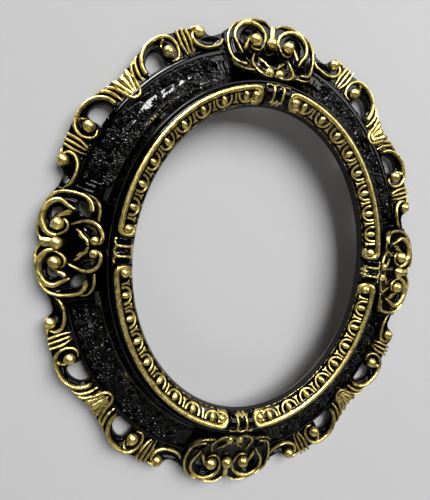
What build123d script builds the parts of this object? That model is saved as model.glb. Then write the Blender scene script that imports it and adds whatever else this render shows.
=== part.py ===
from build123d import *
import os
from math import atan2, cos, degrees, radians, sin

# Oval wall frame with an egg-and-dart sight moulding, a deep cove and a pierced scroll border.
# Millimetres. X is to the right, Z is up and the front faces -Y. The wall is the plane y = 0.
# A turn is the oval's parameter angle in degrees: 0 at the right-hand side and 90 at the top.
# An out share is 0 at the ring's outer edge, -1 at the sight edge and 1 at the border's tips.

# Overall sizes
sight_half_width = 109.5
sight_half_height = 139.5
frame_depth = 43.0
ring_width = 60.5
side_reach = 20.5
end_reach = 25.0
glue_line = 0.1
overrun = 2.0

# Ring section: the lip, the rebate, the screw ledge and the foot at the back, and the cove in front
lip_back_height = 27.0
seat_height = 31.0
rebate_width = 8.0
ledge_height = 14.0
ledge_width = 22.5
foot_width = 20.0
foot_chamfer_width = 4.0
foot_chamfer_height = 9.0
arris_height = 37.5
arris_width = 2.9
cove_out_shares = (-0.65, -0.58, -0.46, -0.33, -0.165)
cove_height_shares = (0.79, 0.63, 0.42, 0.30, 0.235)
rim_height = 8.5

# Sight moulding and ties
moulding_width = 16.2
moulding_step = 0.3
lip_face_height = 33.5
crest_width = 4.4
crest_shoulder = 1.6
crest_fall = 4.5
egg_radius = 3.0
egg_count = 8
egg_out = 7.4
egg_sink = 0.4
end_bead_radius = 4.3
end_bead_out = 5.0
end_bead_lift = 7.0
end_bead_setback = 7.6
tie_half_length = 10.5
tie_rise = 1.6
tie_bar_width = 2.0
tie_bar_offset = 4.5
tie_bar_rise = 1.4

# Relief panels on the cove
panel_thickness = 2.2
panel_turns = (16.5, 41.5)
panel_in_share = -0.55
panel_out_share = -0.07

# Pierced border
border_lift = 1.5
border_floor = 8.0
ridge_height = 13.0
ridge_width = 2.6
thin_ridge_width = 1.8
large_ball_radius = 5.0
inner_ball_height = 10.5
outer_ball_height = 8.1
drop_radius = 4.5
neck_width = 5.0
small_ball_radius = 3.5
cartouche_ridge_rise = 3.5
border_seat_share = -0.05

# Rear fittings
screw_fit = 0.05
swivel_fit = 0.08
running_gap = 0.3
button_turns = (45.0, 90.0, 135.0, 225.0, 270.0, 315.0)
button_width = 9.0
button_reach = 17.5
button_thickness = 1.2
button_screw_radius = 1.5
button_screw_length = 10.0
button_head_radius = 3.1
button_head_height = 1.8
hanger_turns = (22.0, 158.0)
strap_width = 9.0
strap_length = 24.0
strap_thickness = 0.8
strap_corner_radius = 3.0
fold_thickness = 1.0
wire_radius = 1.1
d_ring_half_width = 6.6
hanger_screw_radius = 1.4
hanger_screw_length = 8.0
hanger_head_radius = 2.7
hanger_head_height = 1.6
hanger_screw_places = (6.2, 19.6)

button_screw = (button_screw_radius, button_screw_length, button_head_radius, button_head_height)
hanger_screw = (hanger_screw_radius, hanger_screw_length, hanger_head_radius, hanger_head_height)

quadrants = {
    "top_right": (1, 1),
    "top_left": (-1, 1),
    "bottom_left": (-1, -1),
    "bottom_right": (1, -1),
}


# Places on the oval


def outward(turn):
    """Direction square to the sight oval, in plan."""
    across = cos(radians(turn)) * sight_half_height
    up = sin(radians(turn)) * sight_half_width
    return Vector(across, 0, up).normalized()


def place(turn, out, height):
    """Point at a distance out from the sight edge and a height above the wall."""
    x = sight_half_width * cos(radians(turn))
    z = sight_half_height * sin(radians(turn))
    return Vector(x, -height, z) + outward(turn) * out


def out_of(share, turn=0):
    """Distance from the sight edge for an out share. The border reaches further at the top and bottom."""
    if share < 0:
        return ring_width * (1 + share)
    reach = side_reach + (end_reach - side_reach) * sin(radians(turn)) ** 2
    return ring_width + reach * share


def plan(turn, share):
    """Plan point, as x and z, at a turn and an out share."""
    point = place(turn, out_of(share, turn), 0)
    return (point.X, point.Z)


def far_turn(turn):
    """The same ornament counted from the top of the oval, where the oval curves faster."""
    return 90 - turn + 2 * sin(radians(2 * turn)) ** 2


def section_plane(turn):
    """Plane square to the sight oval, with x outward and y towards the viewer."""
    direction = outward(turn)
    return Plane(place(turn, 0, 0), x_dir=direction, z_dir=(direction.Z, 0, -direction.X))


def ledge_plane(turn, x_dir):
    """Plane on the screw ledge, facing the wall."""
    origin = place(turn, rebate_width + ledge_width / 2, ledge_height)
    return Plane(origin, x_dir=x_dir, z_dir=(0, 1, 0))


def sight_path(start, end):
    """Stretch of the sight oval between two turns."""
    with BuildLine(Plane.XZ) as path:
        EllipticalCenterArc(
            (0, 0), sight_half_width, sight_half_height, start_angle=start, arc_size=end - start
        )
    return path.line


def sweep_round(section_at, start, end):
    """Sweep a cross-section of the ring between two turns, starting at the second."""
    with BuildPart() as swept:
        sweep(sections=section_at(end), path=sight_path(end, start))
    return swept.part


def front_line(shift):
    """Points of the cove, from the arris to the outer edge, moved out and forward by a shift."""
    arris = (moulding_width + moulding_step + arris_width + shift, arris_height + shift)
    cove = [
        (out_of(out) + shift, frame_depth * height + shift)
        for out, height in zip(cove_out_shares, cove_height_shares)
    ]
    return [arris] + cove + [(ring_width + shift, rim_height + shift)]


# Base ring


def ring_section(turn):
    """Cross-section of the ring: lip and seat, arris, cove, foot, ledge and rebate."""
    cove = front_line(0)
    with BuildSketch(section_plane(turn)) as section:
        with BuildLine():
            Polyline(
                (0, lip_back_height),
                (0, seat_height),
                (moulding_width + moulding_step, seat_height),
                (moulding_width + moulding_step, arris_height - arris_width / 2),
                cove[0],
            )
            Spline(*cove)
            Polyline(
                cove[-1],
                (ring_width, 0),
                (ring_width - foot_width, 0),
                (ring_width - foot_width - foot_chamfer_width, foot_chamfer_height),
                (rebate_width + ledge_width, ledge_height),
                (rebate_width, ledge_height),
                (rebate_width, lip_back_height),
                (0, lip_back_height),
            )
        make_face()
    return section.sketch


def draw_seat():
    """Outline of everything under the cove, with room for the glue, which seats the ornaments."""
    cove = front_line(glue_line)
    start = moulding_width + moulding_step
    Spline(*cove)
    Polyline(
        cove[-1],
        (ring_width + glue_line, -overrun),
        (start, -overrun),
        (start, frame_depth + overrun),
        (cove[0][0], frame_depth + overrun),
        cove[0],
    )


def seat_section(turn):
    """Cross-section of the seat that every ornament is cut to."""
    with BuildSketch(section_plane(turn)) as section:
        with BuildLine():
            draw_seat()
        make_face()
    return section.sketch


with BuildPart() as cove_cutter:
    for first in (0, 180):
        add(sweep_round(seat_section, first, first + 180))


def plan_prism(points, low, high):
    """Straight-sided block over a smooth closed outline in plan, between two heights."""
    with BuildPart() as block:
        with BuildSketch(Plane.XZ.offset(low)):
            with BuildLine():
                Spline(*points, periodic=True)
            make_face()
        extrude(amount=high - low)
    return block.part


def band_prism(bands, low, high):
    """Raised bands, each a curve in plan with its width, between two heights."""
    with BuildPart() as block:
        with BuildSketch(Plane.XZ.offset(low)):
            for points, width in bands:
                with BuildLine() as centre:
                    Spline(*points)
                trace(centre.line, line_width=width)
        extrude(amount=high - low)
    return block.part


# Pierced holes, as turns from the side and out shares
scroll_hole_shares = (
    (32.9, -0.05), (33.1, 0.2), (33.0, 0.45), (33.5, 0.64), (35.0, 0.7),
    (36.8, 0.63), (38.0, 0.5), (38.8, 0.32), (38.9, 0.12), (38.2, -0.05),
)
volute_hole_shares = (
    (6.0, 0.5), (7.2, 0.57), (8.3, 0.53), (9.1, 0.38), (9.1, 0.2), (8.4, 0.08), (7.7, 0.12), (7.7, 0.27),
    (7.1, 0.4),
)
leaf_hole_shares = (
    (8.4, -0.33), (8.3, -0.27), (9.1, -0.19), (10.4, -0.14), (11.9, -0.14), (12.1, -0.2), (11.3, -0.28),
    (10.0, -0.33),
)


def quarter_points(shares, far):
    """Plan points of an outline in the top right quarter, counted from the side or from the top."""
    return [plan(far_turn(turn) if far else turn, share) for turn, share in shares]


def both_sides(points, far):
    """The points and their mirror images in the axis that an ornament is centred on."""
    mirrored = [(-x, z) if far else (x, -z) for x, z in points]
    return [points, mirrored]


with BuildPart() as base_ring:
    for first in (0, 180):
        add(sweep_round(ring_section, first, first + 180))
    for far in (False, True):
        for outline in both_sides(quarter_points(leaf_hole_shares, far), far):
            hole = plan_prism(outline, -overrun, frame_depth)
            for axis_turn in (0, 180):
                add(hole.rotate(Axis.Y, axis_turn), mode=Mode.SUBTRACT)
    for turn in button_turns:
        with Locations(ledge_plane(turn, outward(turn) * -1)):
            with Locations((0, 0, -button_screw_length / 2)):
                Cylinder(button_screw_radius + screw_fit, button_screw_length, mode=Mode.SUBTRACT)
    for turn in hanger_turns:
        side = 1 if cos(radians(turn)) > 0 else -1
        with Locations(ledge_plane(turn, outward(turn) * -side)):
            with Locations(*[(0, -down, -hanger_screw_length / 2) for down in hanger_screw_places]):
                Cylinder(hanger_screw_radius + screw_fit, hanger_screw_length, mode=Mode.SUBTRACT)
base_ring.part.label = "base_ring"


# Sight moulding, one length for each quarter, with its eggs and the beads at both ends


def moulding_section(turn):
    """Sloping face with a round gold crest at its outer side."""
    crest_start = moulding_width - crest_shoulder - crest_width
    crest_end = moulding_width - crest_shoulder
    shoulder_height = frame_depth - crest_shoulder
    with BuildSketch(section_plane(turn)) as section:
        with BuildLine():
            Polyline((0, seat_height), (0, lip_face_height), (crest_start, shoulder_height))
            ThreePointArc(
                (crest_start, shoulder_height),
                ((crest_start + crest_end) / 2, frame_depth),
                (crest_end, shoulder_height),
            )
            Polyline(
                (crest_end, shoulder_height),
                (moulding_width, frame_depth - crest_fall),
                (moulding_width, seat_height),
                (0, seat_height),
            )
        make_face()
    return section.sketch


side_tie_turn = degrees(tie_half_length / sight_half_height)
top_tie_turn = 90 - degrees(tie_half_length / sight_half_width)
moulding_path = sight_path(side_tie_turn, top_tie_turn).edge()
slope = (frame_depth - crest_shoulder - lip_face_height) / (moulding_width - crest_shoulder - crest_width)


def ball_on_post(centre, radius, foot_height):
    """Ball whose lower half runs down as a post to a height inside what carries it."""
    start = Plane(centre, x_dir=(1, 0, 0), z_dir=(0, 0, -1))
    foot = foot_height + centre.Y
    with BuildPart() as piece:
        with BuildSketch(start):
            with BuildLine():
                Polyline((0, radius), (0, foot), (radius, foot), (radius, 0))
                RadiusArc((radius, 0), (0, radius), -radius)
            make_face()
        revolve(axis=Axis(centre, (0, -1, 0)))
    return piece.part


def turn_of(point):
    """Turn of a point on the sight oval."""
    return degrees(atan2(point.Z / sight_half_height, point.X / sight_half_width))


with BuildPart() as moulding:
    add(sweep_round(moulding_section, side_tie_turn, top_tie_turn))
    end_share = end_bead_setback / moulding_path.length
    post_foot = seat_height + moulding_step
    egg_height = lip_face_height + slope * egg_out + egg_sink
    egg_turns = [
        turn_of(moulding_path @ (2 * end_share + (1 - 4 * end_share) * index / (egg_count - 1)))
        for index in range(egg_count)
    ]
    for turn in egg_turns:
        add(ball_on_post(place(turn, egg_out, egg_height), egg_radius, post_foot))
    bead_turns = [turn_of(moulding_path @ end_share), turn_of(moulding_path @ (1 - end_share))]
    for turn in bead_turns:
        bead = place(turn, end_bead_out, lip_face_height + end_bead_lift)
        add(ball_on_post(bead, end_bead_radius, post_foot))


# Ties that cover the joints of the sight moulding, with two bars across each


def tie_section(turn, rise=tie_rise):
    """Rounded section of a tie, which stands proud of the moulding."""
    top = frame_depth + rise
    with BuildSketch(section_plane(turn)) as section:
        with BuildLine():
            Polyline(
                (moulding_width, top - crest_fall),
                (moulding_width, seat_height),
                (0, seat_height),
                (0, lip_face_height + rise),
            )
            Spline(
                (0, lip_face_height + rise),
                (moulding_width / 4, top - crest_fall / 2),
                (moulding_width * 2 / 3, top),
                (moulding_width, top - crest_fall),
            )
        make_face()
    return section.sketch


def tie_bar_section(turn):
    """Section of a bar across a tie."""
    return tie_section(turn, tie_rise + tie_bar_rise)


def tie_at(turn, speed):
    """Tie centred on a turn, where the oval runs speed millimetres for each radian."""
    half = degrees(tie_half_length / speed)
    bar = degrees(tie_bar_offset / speed)
    bar_half = degrees(tie_bar_width / 2 / speed)
    with BuildPart() as piece:
        add(sweep_round(tie_section, turn - half, turn + half))
        for middle in (turn - bar, turn + bar):
            add(sweep_round(tie_bar_section, middle - bar_half, middle + bar_half))
    return piece.part


# Relief panels on the cove


def panel_section(turn):
    """Thin section that follows the cove."""
    top = front_line(glue_line + panel_thickness)
    inner = out_of(panel_in_share)
    outer = out_of(panel_out_share)
    with BuildSketch(section_plane(turn)) as section:
        with BuildLine():
            Spline(*top)
            Polyline(top[-1], (top[-1][0], 0), (top[0][0], 0), top[0])
        make_face()
        with Locations(((inner + outer) / 2, 0)):
            Rectangle(outer - inner, 2 * frame_depth, mode=Mode.INTERSECT)
        with BuildLine():
            draw_seat()
        make_face(mode=Mode.SUBTRACT)
    return section.sketch


# Border ornaments, as turns from the side and out shares
joint_turns = {"ball_scroll": (14.2, 27.3), "c_scroll": (27.3, 43.2)}
ball_scroll_edge_shares = (
    (14.2, 0.53), (16.0, 0.49), (17.8, 0.5), (18.7, 0.62), (19.3, 0.78), (20.7, 0.88), (22.5, 0.88),
    (25.0, 0.91), (27.3, 0.93),
)
ball_scroll_ridge_shares = (
    (14.8, 0.2), (15.8, 0.1), (17.5, 0.03), (19.5, 0.03), (21.5, 0.13), (22.8, 0.3), (22.9, 0.5),
    (22.2, 0.68),
)
ball_scroll_ball_share = (20.7, 0.66)
ball_scroll_rib_turns = (24.4, 25.7, 26.8)
ball_scroll_rib_shares = (0.05, 0.86)
c_scroll_edge_shares = (
    (27.3, 0.93), (29.2, 0.97), (31.3, 1.0), (33.7, 1.0), (36.2, 0.96), (38.7, 0.84), (40.8, 0.75),
    (43.2, 0.71),
)
c_scroll_ridge_shares = (
    (29.3, 0.04), (28.5, 0.2), (28.6, 0.38), (29.4, 0.62), (31.0, 0.82), (33.2, 0.9), (35.6, 0.86),
    (37.8, 0.7), (39.3, 0.5), (40.2, 0.3), (40.8, 0.08),
)
c_scroll_ball_share = (31.2, 0.34)
c_scroll_leaf_shares = ((38.6, 0.73), (40.4, 0.5), (41.4, 0.25), (41.9, 0.04))
leaf_edge_shares = ((43.2, 0.71), (44.5, 0.66), (46.0, 0.62))
leaf_tip_shares = ((43.2, -0.02), (43.8, -0.08), (44.7, -0.13), (46.0, -0.15))
leaf_ridge_shares = ((43.9, 0.6), (43.9, 0.2), (44.3, -0.04), (45.1, -0.11), (46.0, -0.125))


def border_block(edge_shares, turns, far):
    """Floor of a border ornament, from inside the ring's edge out to its scrolled edge."""
    edge = quarter_points(edge_shares, far)
    inner = quarter_points([(turns[1], border_seat_share), (turns[0], border_seat_share)], far)
    with BuildPart() as block:
        with BuildSketch(Plane.XZ.offset(border_lift)):
            with BuildLine():
                Spline(*edge)
                Polyline(edge[-1], *inner, edge[0])
            make_face()
        extrude(amount=border_floor - border_lift)
    return block.part


def ball_at(shares, height, far):
    """Centre of a ball on the border."""
    near_turn, share = shares
    turn = far_turn(near_turn) if far else near_turn
    return place(turn, out_of(share, turn), height)


def seated(blocks):
    """Join the blocks of an ornament and shape its back to the ring."""
    with BuildPart() as piece:
        for block in blocks:
            add(block)
        add(cove_cutter.part, mode=Mode.SUBTRACT)
    return piece.part


def ball_scroll(far):
    """Small scroll that ends in a ball, with three ribs behind it."""
    low, high = ball_scroll_rib_shares
    ball = ball_at(ball_scroll_ball_share, outer_ball_height, far)
    bands = [(quarter_points(ball_scroll_ridge_shares, far), ridge_width)]
    for turn in ball_scroll_rib_turns:
        rib = [(turn, low), (turn, (low + high) / 2), (turn, high)]
        bands.append((quarter_points(rib, far), thin_ridge_width))
    blocks = [
        border_block(ball_scroll_edge_shares, joint_turns["ball_scroll"], far),
        band_prism(bands, border_lift, ridge_height),
        ball_on_post(ball, large_ball_radius, border_floor / 2),
    ]
    return seated(blocks)


def c_scroll(far):
    """Large C-shaped scroll round a pierced hole, with a ball at one end and a leaf at the other."""
    ball = ball_at(c_scroll_ball_share, inner_ball_height, far)
    with BuildPart() as body:
        add(border_block(c_scroll_edge_shares, joint_turns["c_scroll"], far))
        add(plan_prism(quarter_points(scroll_hole_shares, far), -overrun, frame_depth), mode=Mode.SUBTRACT)
    lines = (c_scroll_ridge_shares, c_scroll_leaf_shares)
    bands = [(quarter_points(shares, far), ridge_width) for shares in lines]
    blocks = [
        body.part,
        band_prism(bands, border_lift, ridge_height),
        ball_on_post(ball, large_ball_radius, border_floor / 2),
    ]
    return seated(blocks)


def leaf_clasp():
    """Tongue-shaped leaf between the two C-scrolls of a quarter, with a raised rim."""
    far_side = [(far_turn(turn), share) for turn, share in leaf_edge_shares[-2::-1]]
    edge = [plan(turn, share) for turn, share in list(leaf_edge_shares) + far_side]
    far_tip = [(far_turn(turn), share) for turn, share in leaf_tip_shares[-2::-1]]
    tip = [plan(turn, share) for turn, share in list(leaf_tip_shares) + far_tip]
    far_ridge = [(far_turn(turn), share) for turn, share in leaf_ridge_shares[-2::-1]]
    ridge = [plan(turn, share) for turn, share in list(leaf_ridge_shares) + far_ridge]
    with BuildPart() as block:
        with BuildSketch(Plane.XZ.offset(border_lift)):
            with BuildLine():
                Spline(*edge)
                Line(edge[-1], tip[-1])
                Spline(*tip)
                Line(tip[0], edge[0])
            make_face()
        extrude(amount=(ridge_height + border_floor) / 2 - border_lift)
    return seated([block.part, band_prism([(ridge, thin_ridge_width)], border_lift, ridge_height)])


# Cartouches on the four axes, as turns from their own axis and out shares
cartouche_edge_shares = (
    (0.0, 0.78), (1.0, 0.89), (2.5, 0.98), (4.2, 1.0), (7.0, 0.95), (10.0, 0.82), (12.0, 0.68),
    (14.2, 0.53),
)
cartouche_inner_shares = (
    (14.2, -0.04), (14.4, -0.14), (14.5, -0.25), (14.1, -0.35), (13.0, -0.44), (11.4, -0.5), (9.5, -0.52),
    (7.6, -0.53), (5.8, -0.56), (4.0, -0.6), (2.2, -0.605), (1.0, -0.59), (0.0, -0.56),
)
cartouche_top_shares = (
    (1.2, 0.2), (0.5, 0.22), (0.0, 0.26), (-0.17, 0.33), (-0.31, 0.42), (-0.42, 0.55), (-0.56, 0.7),
    (-0.64, 0.77),
)
cartouche_ridge_shares = {
    "volute": (
        (3.3, -0.03), (2.1, 0.09), (1.8, 0.3), (2.4, 0.56), (4.2, 0.78), (6.3, 0.85), (8.7, 0.73),
        (10.0, 0.5), (10.3, 0.25), (9.8, 0.03), (8.8, -0.05),
    ),
    "second_leaf": ((11.1, 0.6), (11.6, 0.33), (11.7, 0.02), (10.8, -0.1)),
    "outer": (
        (0.7, 0.8), (2.3, 0.93), (4.2, 0.96), (7.5, 0.9), (10.4, 0.76), (12.2, 0.5),
        (13.2, 0.2), (13.6, -0.06),
        (13.6, -0.18), (12.9, -0.29), (11.5, -0.36), (10.0, -0.39),
    ),
    "lower": ((14.0, -0.27), (13.8, -0.36), (12.9, -0.43), (11.3, -0.48), (9.5, -0.5), (8.0, -0.51)),
    "inner": (
        (4.9, -0.11), (5.8, -0.16), (6.6, -0.24), (7.1, -0.34), (6.9, -0.44), (5.7, -0.52), (4.0, -0.57),
        (2.3, -0.58), (1.1, -0.54),
    ),
    "shield": ((4.0, -0.24), (2.8, -0.27), (2.3, -0.32), (1.4, -0.37), (0.3, -0.39)),
}
cartouche_thin_ridges = ("second_leaf", "lower", "shield")
neck_shares = (0.05, 0.4, 0.78)
volute_ball_share = (5.0, 0.18)
small_ball_share = (1.9, -0.485)
drop_share = 0.12


def cartouche_slab(turn, lift):
    """Block under the cartouche's sloping top, raised by a lift."""
    top = [(out_of(out, turn), frame_depth * height + lift) for out, height in cartouche_top_shares]
    with BuildPart() as slab:
        with BuildSketch(section_plane(turn)):
            with BuildLine():
                Spline(*top)
                Polyline(top[-1], (top[-1][0], border_lift), (top[0][0], border_lift), top[0])
            make_face()
        extrude(amount=ring_width, both=True)
    return slab.part


def cartouche(far):
    """Openwork cartouche: two volutes with balls, a drop between them and two inner scrolls."""
    turn = 90 if far else 0
    edge, other_edge = both_sides(quarter_points(cartouche_edge_shares, far), far)
    inner, other_inner = both_sides(quarter_points(cartouche_inner_shares, far), far)
    with BuildPart() as body:
        with BuildSketch(Plane.XZ.offset(border_lift)):
            with BuildLine():
                Spline(*edge)
                Line(edge[-1], inner[0])
                Spline(*inner, *other_inner[-2::-1])
                Line(other_inner[0], other_edge[-1])
                Spline(*other_edge[::-1])
            make_face()
        extrude(amount=frame_depth)
        add(cartouche_slab(turn, 0), mode=Mode.INTERSECT)
    bands = [([plan(turn, share) for share in neck_shares], neck_width)]
    for name, shares in cartouche_ridge_shares.items():
        width = thin_ridge_width if name in cartouche_thin_ridges else ridge_width
        bands += [(line, width) for line in both_sides(quarter_points(shares, far), far)]
    with BuildPart() as ridges:
        add(band_prism(bands, border_lift, frame_depth + overrun))
        add(cartouche_slab(turn, cartouche_ridge_rise), mode=Mode.INTERSECT)
    with BuildPart() as balls:
        for sign in (1, -1):
            ball_turn = turn + sign * volute_ball_share[0]
            with Locations(place(ball_turn, out_of(volute_ball_share[1], turn), ridge_height)):
                Sphere(large_ball_radius)
            ball_turn = turn + sign * small_ball_share[0]
            with Locations(place(ball_turn, out_of(small_ball_share[1]), lip_back_height)):
                Sphere(small_ball_radius)
        with Locations(place(turn, out_of(drop_share, turn), ridge_height)):
            Sphere(drop_radius)
    holes = [
        plan_prism(outline, -overrun, frame_depth)
        for shares in (volute_hole_shares, leaf_hole_shares)
        for outline in both_sides(quarter_points(shares, far), far)
    ]
    with BuildPart() as piece:
        add(seated([body.part, ridges.part, balls.part]))
        for hole in holes:
            add(hole, mode=Mode.SUBTRACT)
    return piece.part


# Rear fittings


def turn_button(turn):
    """Flat swivelling tab, stored turned aside along the ledge."""
    with BuildPart() as piece:
        with BuildSketch(ledge_plane(turn, outward(turn) * -1).offset(running_gap)):
            with Locations((0, button_reach / 2 - button_width / 4)):
                SlotOverall(button_reach + button_width / 2, button_width, rotation=90)
            Circle(button_screw_radius + swivel_fit, mode=Mode.SUBTRACT)
        extrude(amount=button_thickness)
    return piece.part


def pan_screw(plane, sizes, head_start):
    """Pan-head screw that stands on a plane and runs into the ring."""
    radius, length, head_radius, head_height = sizes
    with BuildPart() as piece:
        with BuildSketch(plane.offset(-length)):
            Circle(radius)
        extrude(amount=length + head_start)
        with BuildSketch(plane.offset(head_start)):
            Circle(head_radius)
        extrude(amount=head_height)
        fillet(piece.edges().filter_by(GeomType.CIRCLE).sort_by(Axis.Y)[-1], head_height / 2)
    return piece.part


def hanger_plane(turn):
    """Plane of a hanger, with y up along the ledge from the fold."""
    side = 1 if cos(radians(turn)) > 0 else -1
    return ledge_plane(turn, outward(turn) * -side)


fold_radius = wire_radius + swivel_fit + fold_thickness


def hanger_strap(turn):
    """Strap with a folded loop at its top for the ring's straight bar."""
    base = hanger_plane(turn)
    loop = Plane(base.from_local_coords((0, 0, fold_radius)), x_dir=base.y_dir, z_dir=base.x_dir)
    with BuildPart() as piece:
        with BuildSketch(base):
            with Locations((0, -strap_length / 2)):
                Rectangle(strap_width, strap_length)
        extrude(amount=strap_thickness)
        corners = piece.edges().filter_by(Axis.Y).sort_by(Axis(base.origin, base.y_dir))[:2]
        fillet(corners, strap_corner_radius)
        with BuildSketch(loop):
            Circle(fold_radius)
        extrude(amount=strap_width / 2, both=True)
        with BuildSketch(loop):
            Circle(wire_radius + swivel_fit)
        extrude(amount=strap_width, both=True, mode=Mode.SUBTRACT)
        with Locations(base):
            with Locations(*[(0, -down) for down in hanger_screw_places]):
                Cylinder(hanger_screw_radius + screw_fit, 2 * overrun, mode=Mode.SUBTRACT)
    return piece.part


def d_ring(turn):
    """Wire ring with one straight side, hanging down from the fold."""
    base = hanger_plane(turn).offset(fold_radius)
    half = d_ring_half_width
    corner = Plane(base.from_local_coords((-half / 2, 0, 0)), x_dir=base.y_dir, z_dir=base.x_dir)
    with BuildPart() as piece:
        with BuildLine(base) as path:
            Line((-half / 2, 0), (half, 0))
            Line((half, 0), (half, -half))
            ThreePointArc((half, -half), (0, -2 * half), (-half, -half))
            Line((-half, -half), (-half, 0))
            Line((-half, 0), (-half / 2, 0))
        with BuildSketch(corner):
            Circle(wire_radius)
        sweep(path=path.line, transition=Transition.ROUND)
    return piece.part


# Write every piece


def write(part, label):
    """Name a piece and write its file."""
    part.label = label
    export_step(part, f"parts/{label}.step")


def mirrored_to(part, across, up):
    """Copy of a top right piece in another quarter."""
    with BuildPart() as piece:
        add(part)
        if across < 0:
            mirror(about=Plane.YZ, mode=Mode.REPLACE)
        if up < 0:
            mirror(about=Plane.XY, mode=Mode.REPLACE)
    return piece.part


os.makedirs("parts", exist_ok=True)
export_step(base_ring.part, "parts/base_ring.step")

quarter_pieces = {
    "sight_moulding": moulding.part,
    "leaf_clasp": leaf_clasp(),
    "relief_panel_side": sweep_round(panel_section, *panel_turns),
    "relief_panel_end": sweep_round(panel_section, far_turn(panel_turns[1]), far_turn(panel_turns[0])),
    "ball_scroll_side": ball_scroll(False),
    "ball_scroll_end": ball_scroll(True),
    "c_scroll_side": c_scroll(False),
    "c_scroll_end": c_scroll(True),
}
for quadrant, (across, up) in quadrants.items():
    for name, piece in quarter_pieces.items():
        write(mirrored_to(piece, across, up), f"{name}_{quadrant}")

side_tie = tie_at(0, sight_half_height)
top_tie = tie_at(90, sight_half_width)
side_cartouche = cartouche(False)
top_cartouche = cartouche(True)
write(side_tie, "tie_right")
write(mirrored_to(side_tie, -1, 1), "tie_left")
write(top_tie, "tie_top")
write(mirrored_to(top_tie, 1, -1), "tie_bottom")
write(side_cartouche, "cartouche_right")
write(mirrored_to(side_cartouche, -1, 1), "cartouche_left")
write(top_cartouche, "cartouche_top")
write(mirrored_to(top_cartouche, 1, -1), "cartouche_bottom")

for number, turn in enumerate(button_turns, start=1):
    write(turn_button(turn), f"turn_button_{number}")
with BuildPart() as button_screws:
    for turn in button_turns:
        plane = ledge_plane(turn, outward(turn) * -1)
        head_start = 2 * running_gap + button_thickness
        add(pan_screw(plane, button_screw, head_start))
write(button_screws.part, "turn_button_screws")

for side, turn in zip(("right", "left"), hanger_turns):
    write(hanger_strap(turn), f"hanger_strap_{side}")
    write(d_ring(turn), f"d_ring_{side}")
with BuildPart() as hanger_screws:
    for turn in hanger_turns:
        for down in hanger_screw_places:
            base = hanger_plane(turn)
            plane = Plane(base.from_local_coords((0, -down, 0)), x_dir=base.x_dir, z_dir=base.z_dir)
            add(pan_screw(plane, hanger_screw, strap_thickness))
write(hanger_screws.part, "hanger_screws")
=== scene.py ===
# %% [markdown]
# # An oval picture frame, black lacquer with rubbed gold
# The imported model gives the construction: a ring, pressed ornaments, ties and the rear fittings.
# This notebook gives each of them its carved surface and its finish, in the same places.

# %% Load the frame
from math import cos, pi, radians, sin
import bmesh
import bpy
import numpy as np
from mathutils import Matrix, Vector
from mathutils.geometry import delaunay_2d_cdt


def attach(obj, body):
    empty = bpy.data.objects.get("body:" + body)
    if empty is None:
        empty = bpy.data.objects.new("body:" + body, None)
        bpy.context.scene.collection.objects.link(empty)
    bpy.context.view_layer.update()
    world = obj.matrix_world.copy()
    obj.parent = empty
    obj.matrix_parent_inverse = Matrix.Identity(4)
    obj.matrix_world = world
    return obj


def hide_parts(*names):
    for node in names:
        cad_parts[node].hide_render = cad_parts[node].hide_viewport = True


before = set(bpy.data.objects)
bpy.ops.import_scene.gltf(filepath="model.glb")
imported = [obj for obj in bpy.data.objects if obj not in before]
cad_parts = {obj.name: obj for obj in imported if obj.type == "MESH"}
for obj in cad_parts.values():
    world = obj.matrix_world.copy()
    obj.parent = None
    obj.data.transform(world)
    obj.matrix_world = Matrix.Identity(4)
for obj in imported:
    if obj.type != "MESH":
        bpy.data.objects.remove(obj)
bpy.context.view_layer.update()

# %% [markdown]
# ## Places on the oval
# Every ornament follows the sight oval, the edge round the picture. A place is a turn, which is
# the oval's parameter angle, and a distance out from that edge. Working in these two numbers
# keeps a scroll the same shape wherever it sits, as a carver's template does.

# %% Sizes of the frame
mm = 0.001
sight_half_width = 109.5 * mm
sight_half_height = 139.5 * mm
frame_depth = 43.0 * mm
ring_width = 60.5 * mm
side_reach = 20.5 * mm
end_reach = 25.0 * mm
glue_line = 0.1 * mm
moulding_width = 16.2 * mm
crest_width = 4.4 * mm
crest_shoulder = 1.6 * mm
lip_face_height = 33.5 * mm
seat_height = 31.0 * mm
border_lift = 1.5 * mm
border_floor = 8.0 * mm
# distance out and height of places on the cove, in millimetres
cove_places = [
    (19.4, 37.5), (21.2, 34.0), (25.4, 27.1), (32.7, 18.1), (40.5, 12.9), (50.5, 10.1), (60.5, 8.5),
]
# the signs of x and z in each quarter, and on each end of the two axes
quadrants = {
    "top_right": (1, 1), "top_left": (-1, 1), "bottom_left": (-1, -1), "bottom_right": (1, -1),
}
axis_ends = {
    False: {"right": (1, 1), "left": (-1, 1)},
    True: {"top": (1, 1), "bottom": (1, -1)},
}
# an ornament counted from the side of the oval, and the same counted from its top
halves = {False: "side", True: "end"}


def outward(turn):
    """Direction square to the sight oval, in plan, for one turn or an array."""
    turn = np.radians(turn)
    across, up = np.cos(turn) * sight_half_height, np.sin(turn) * sight_half_width
    return np.stack([across, up], -1) / np.hypot(across, up)[..., None]


def place(turn, out):
    """Plan points, as x and z, at a turn and a distance out from the sight edge."""
    turn, out = np.broadcast_arrays(np.asarray(turn, float), np.asarray(out, float))
    angle = np.radians(turn)
    edge = np.stack([sight_half_width * np.cos(angle), sight_half_height * np.sin(angle)], -1)
    return edge + outward(turn) * out[..., None]


def out_of(share, turn):
    """Distance out for an out share: -1 is the sight edge, 0 the ring's edge and 1 the tips."""
    reach = side_reach + (end_reach - side_reach) * np.sin(np.radians(turn)) ** 2
    return np.where(share < 0, ring_width * (1 + share), ring_width + reach * share)


def far_turn(turn):
    """The same ornament counted from the top, where the oval curves faster."""
    return 90 - turn + 2 * np.sin(np.radians(2 * turn)) ** 2


def from_start(turns, far):
    """Turns counted from the side, as they are, or from the top."""
    return far_turn(turns) if far else turns


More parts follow.
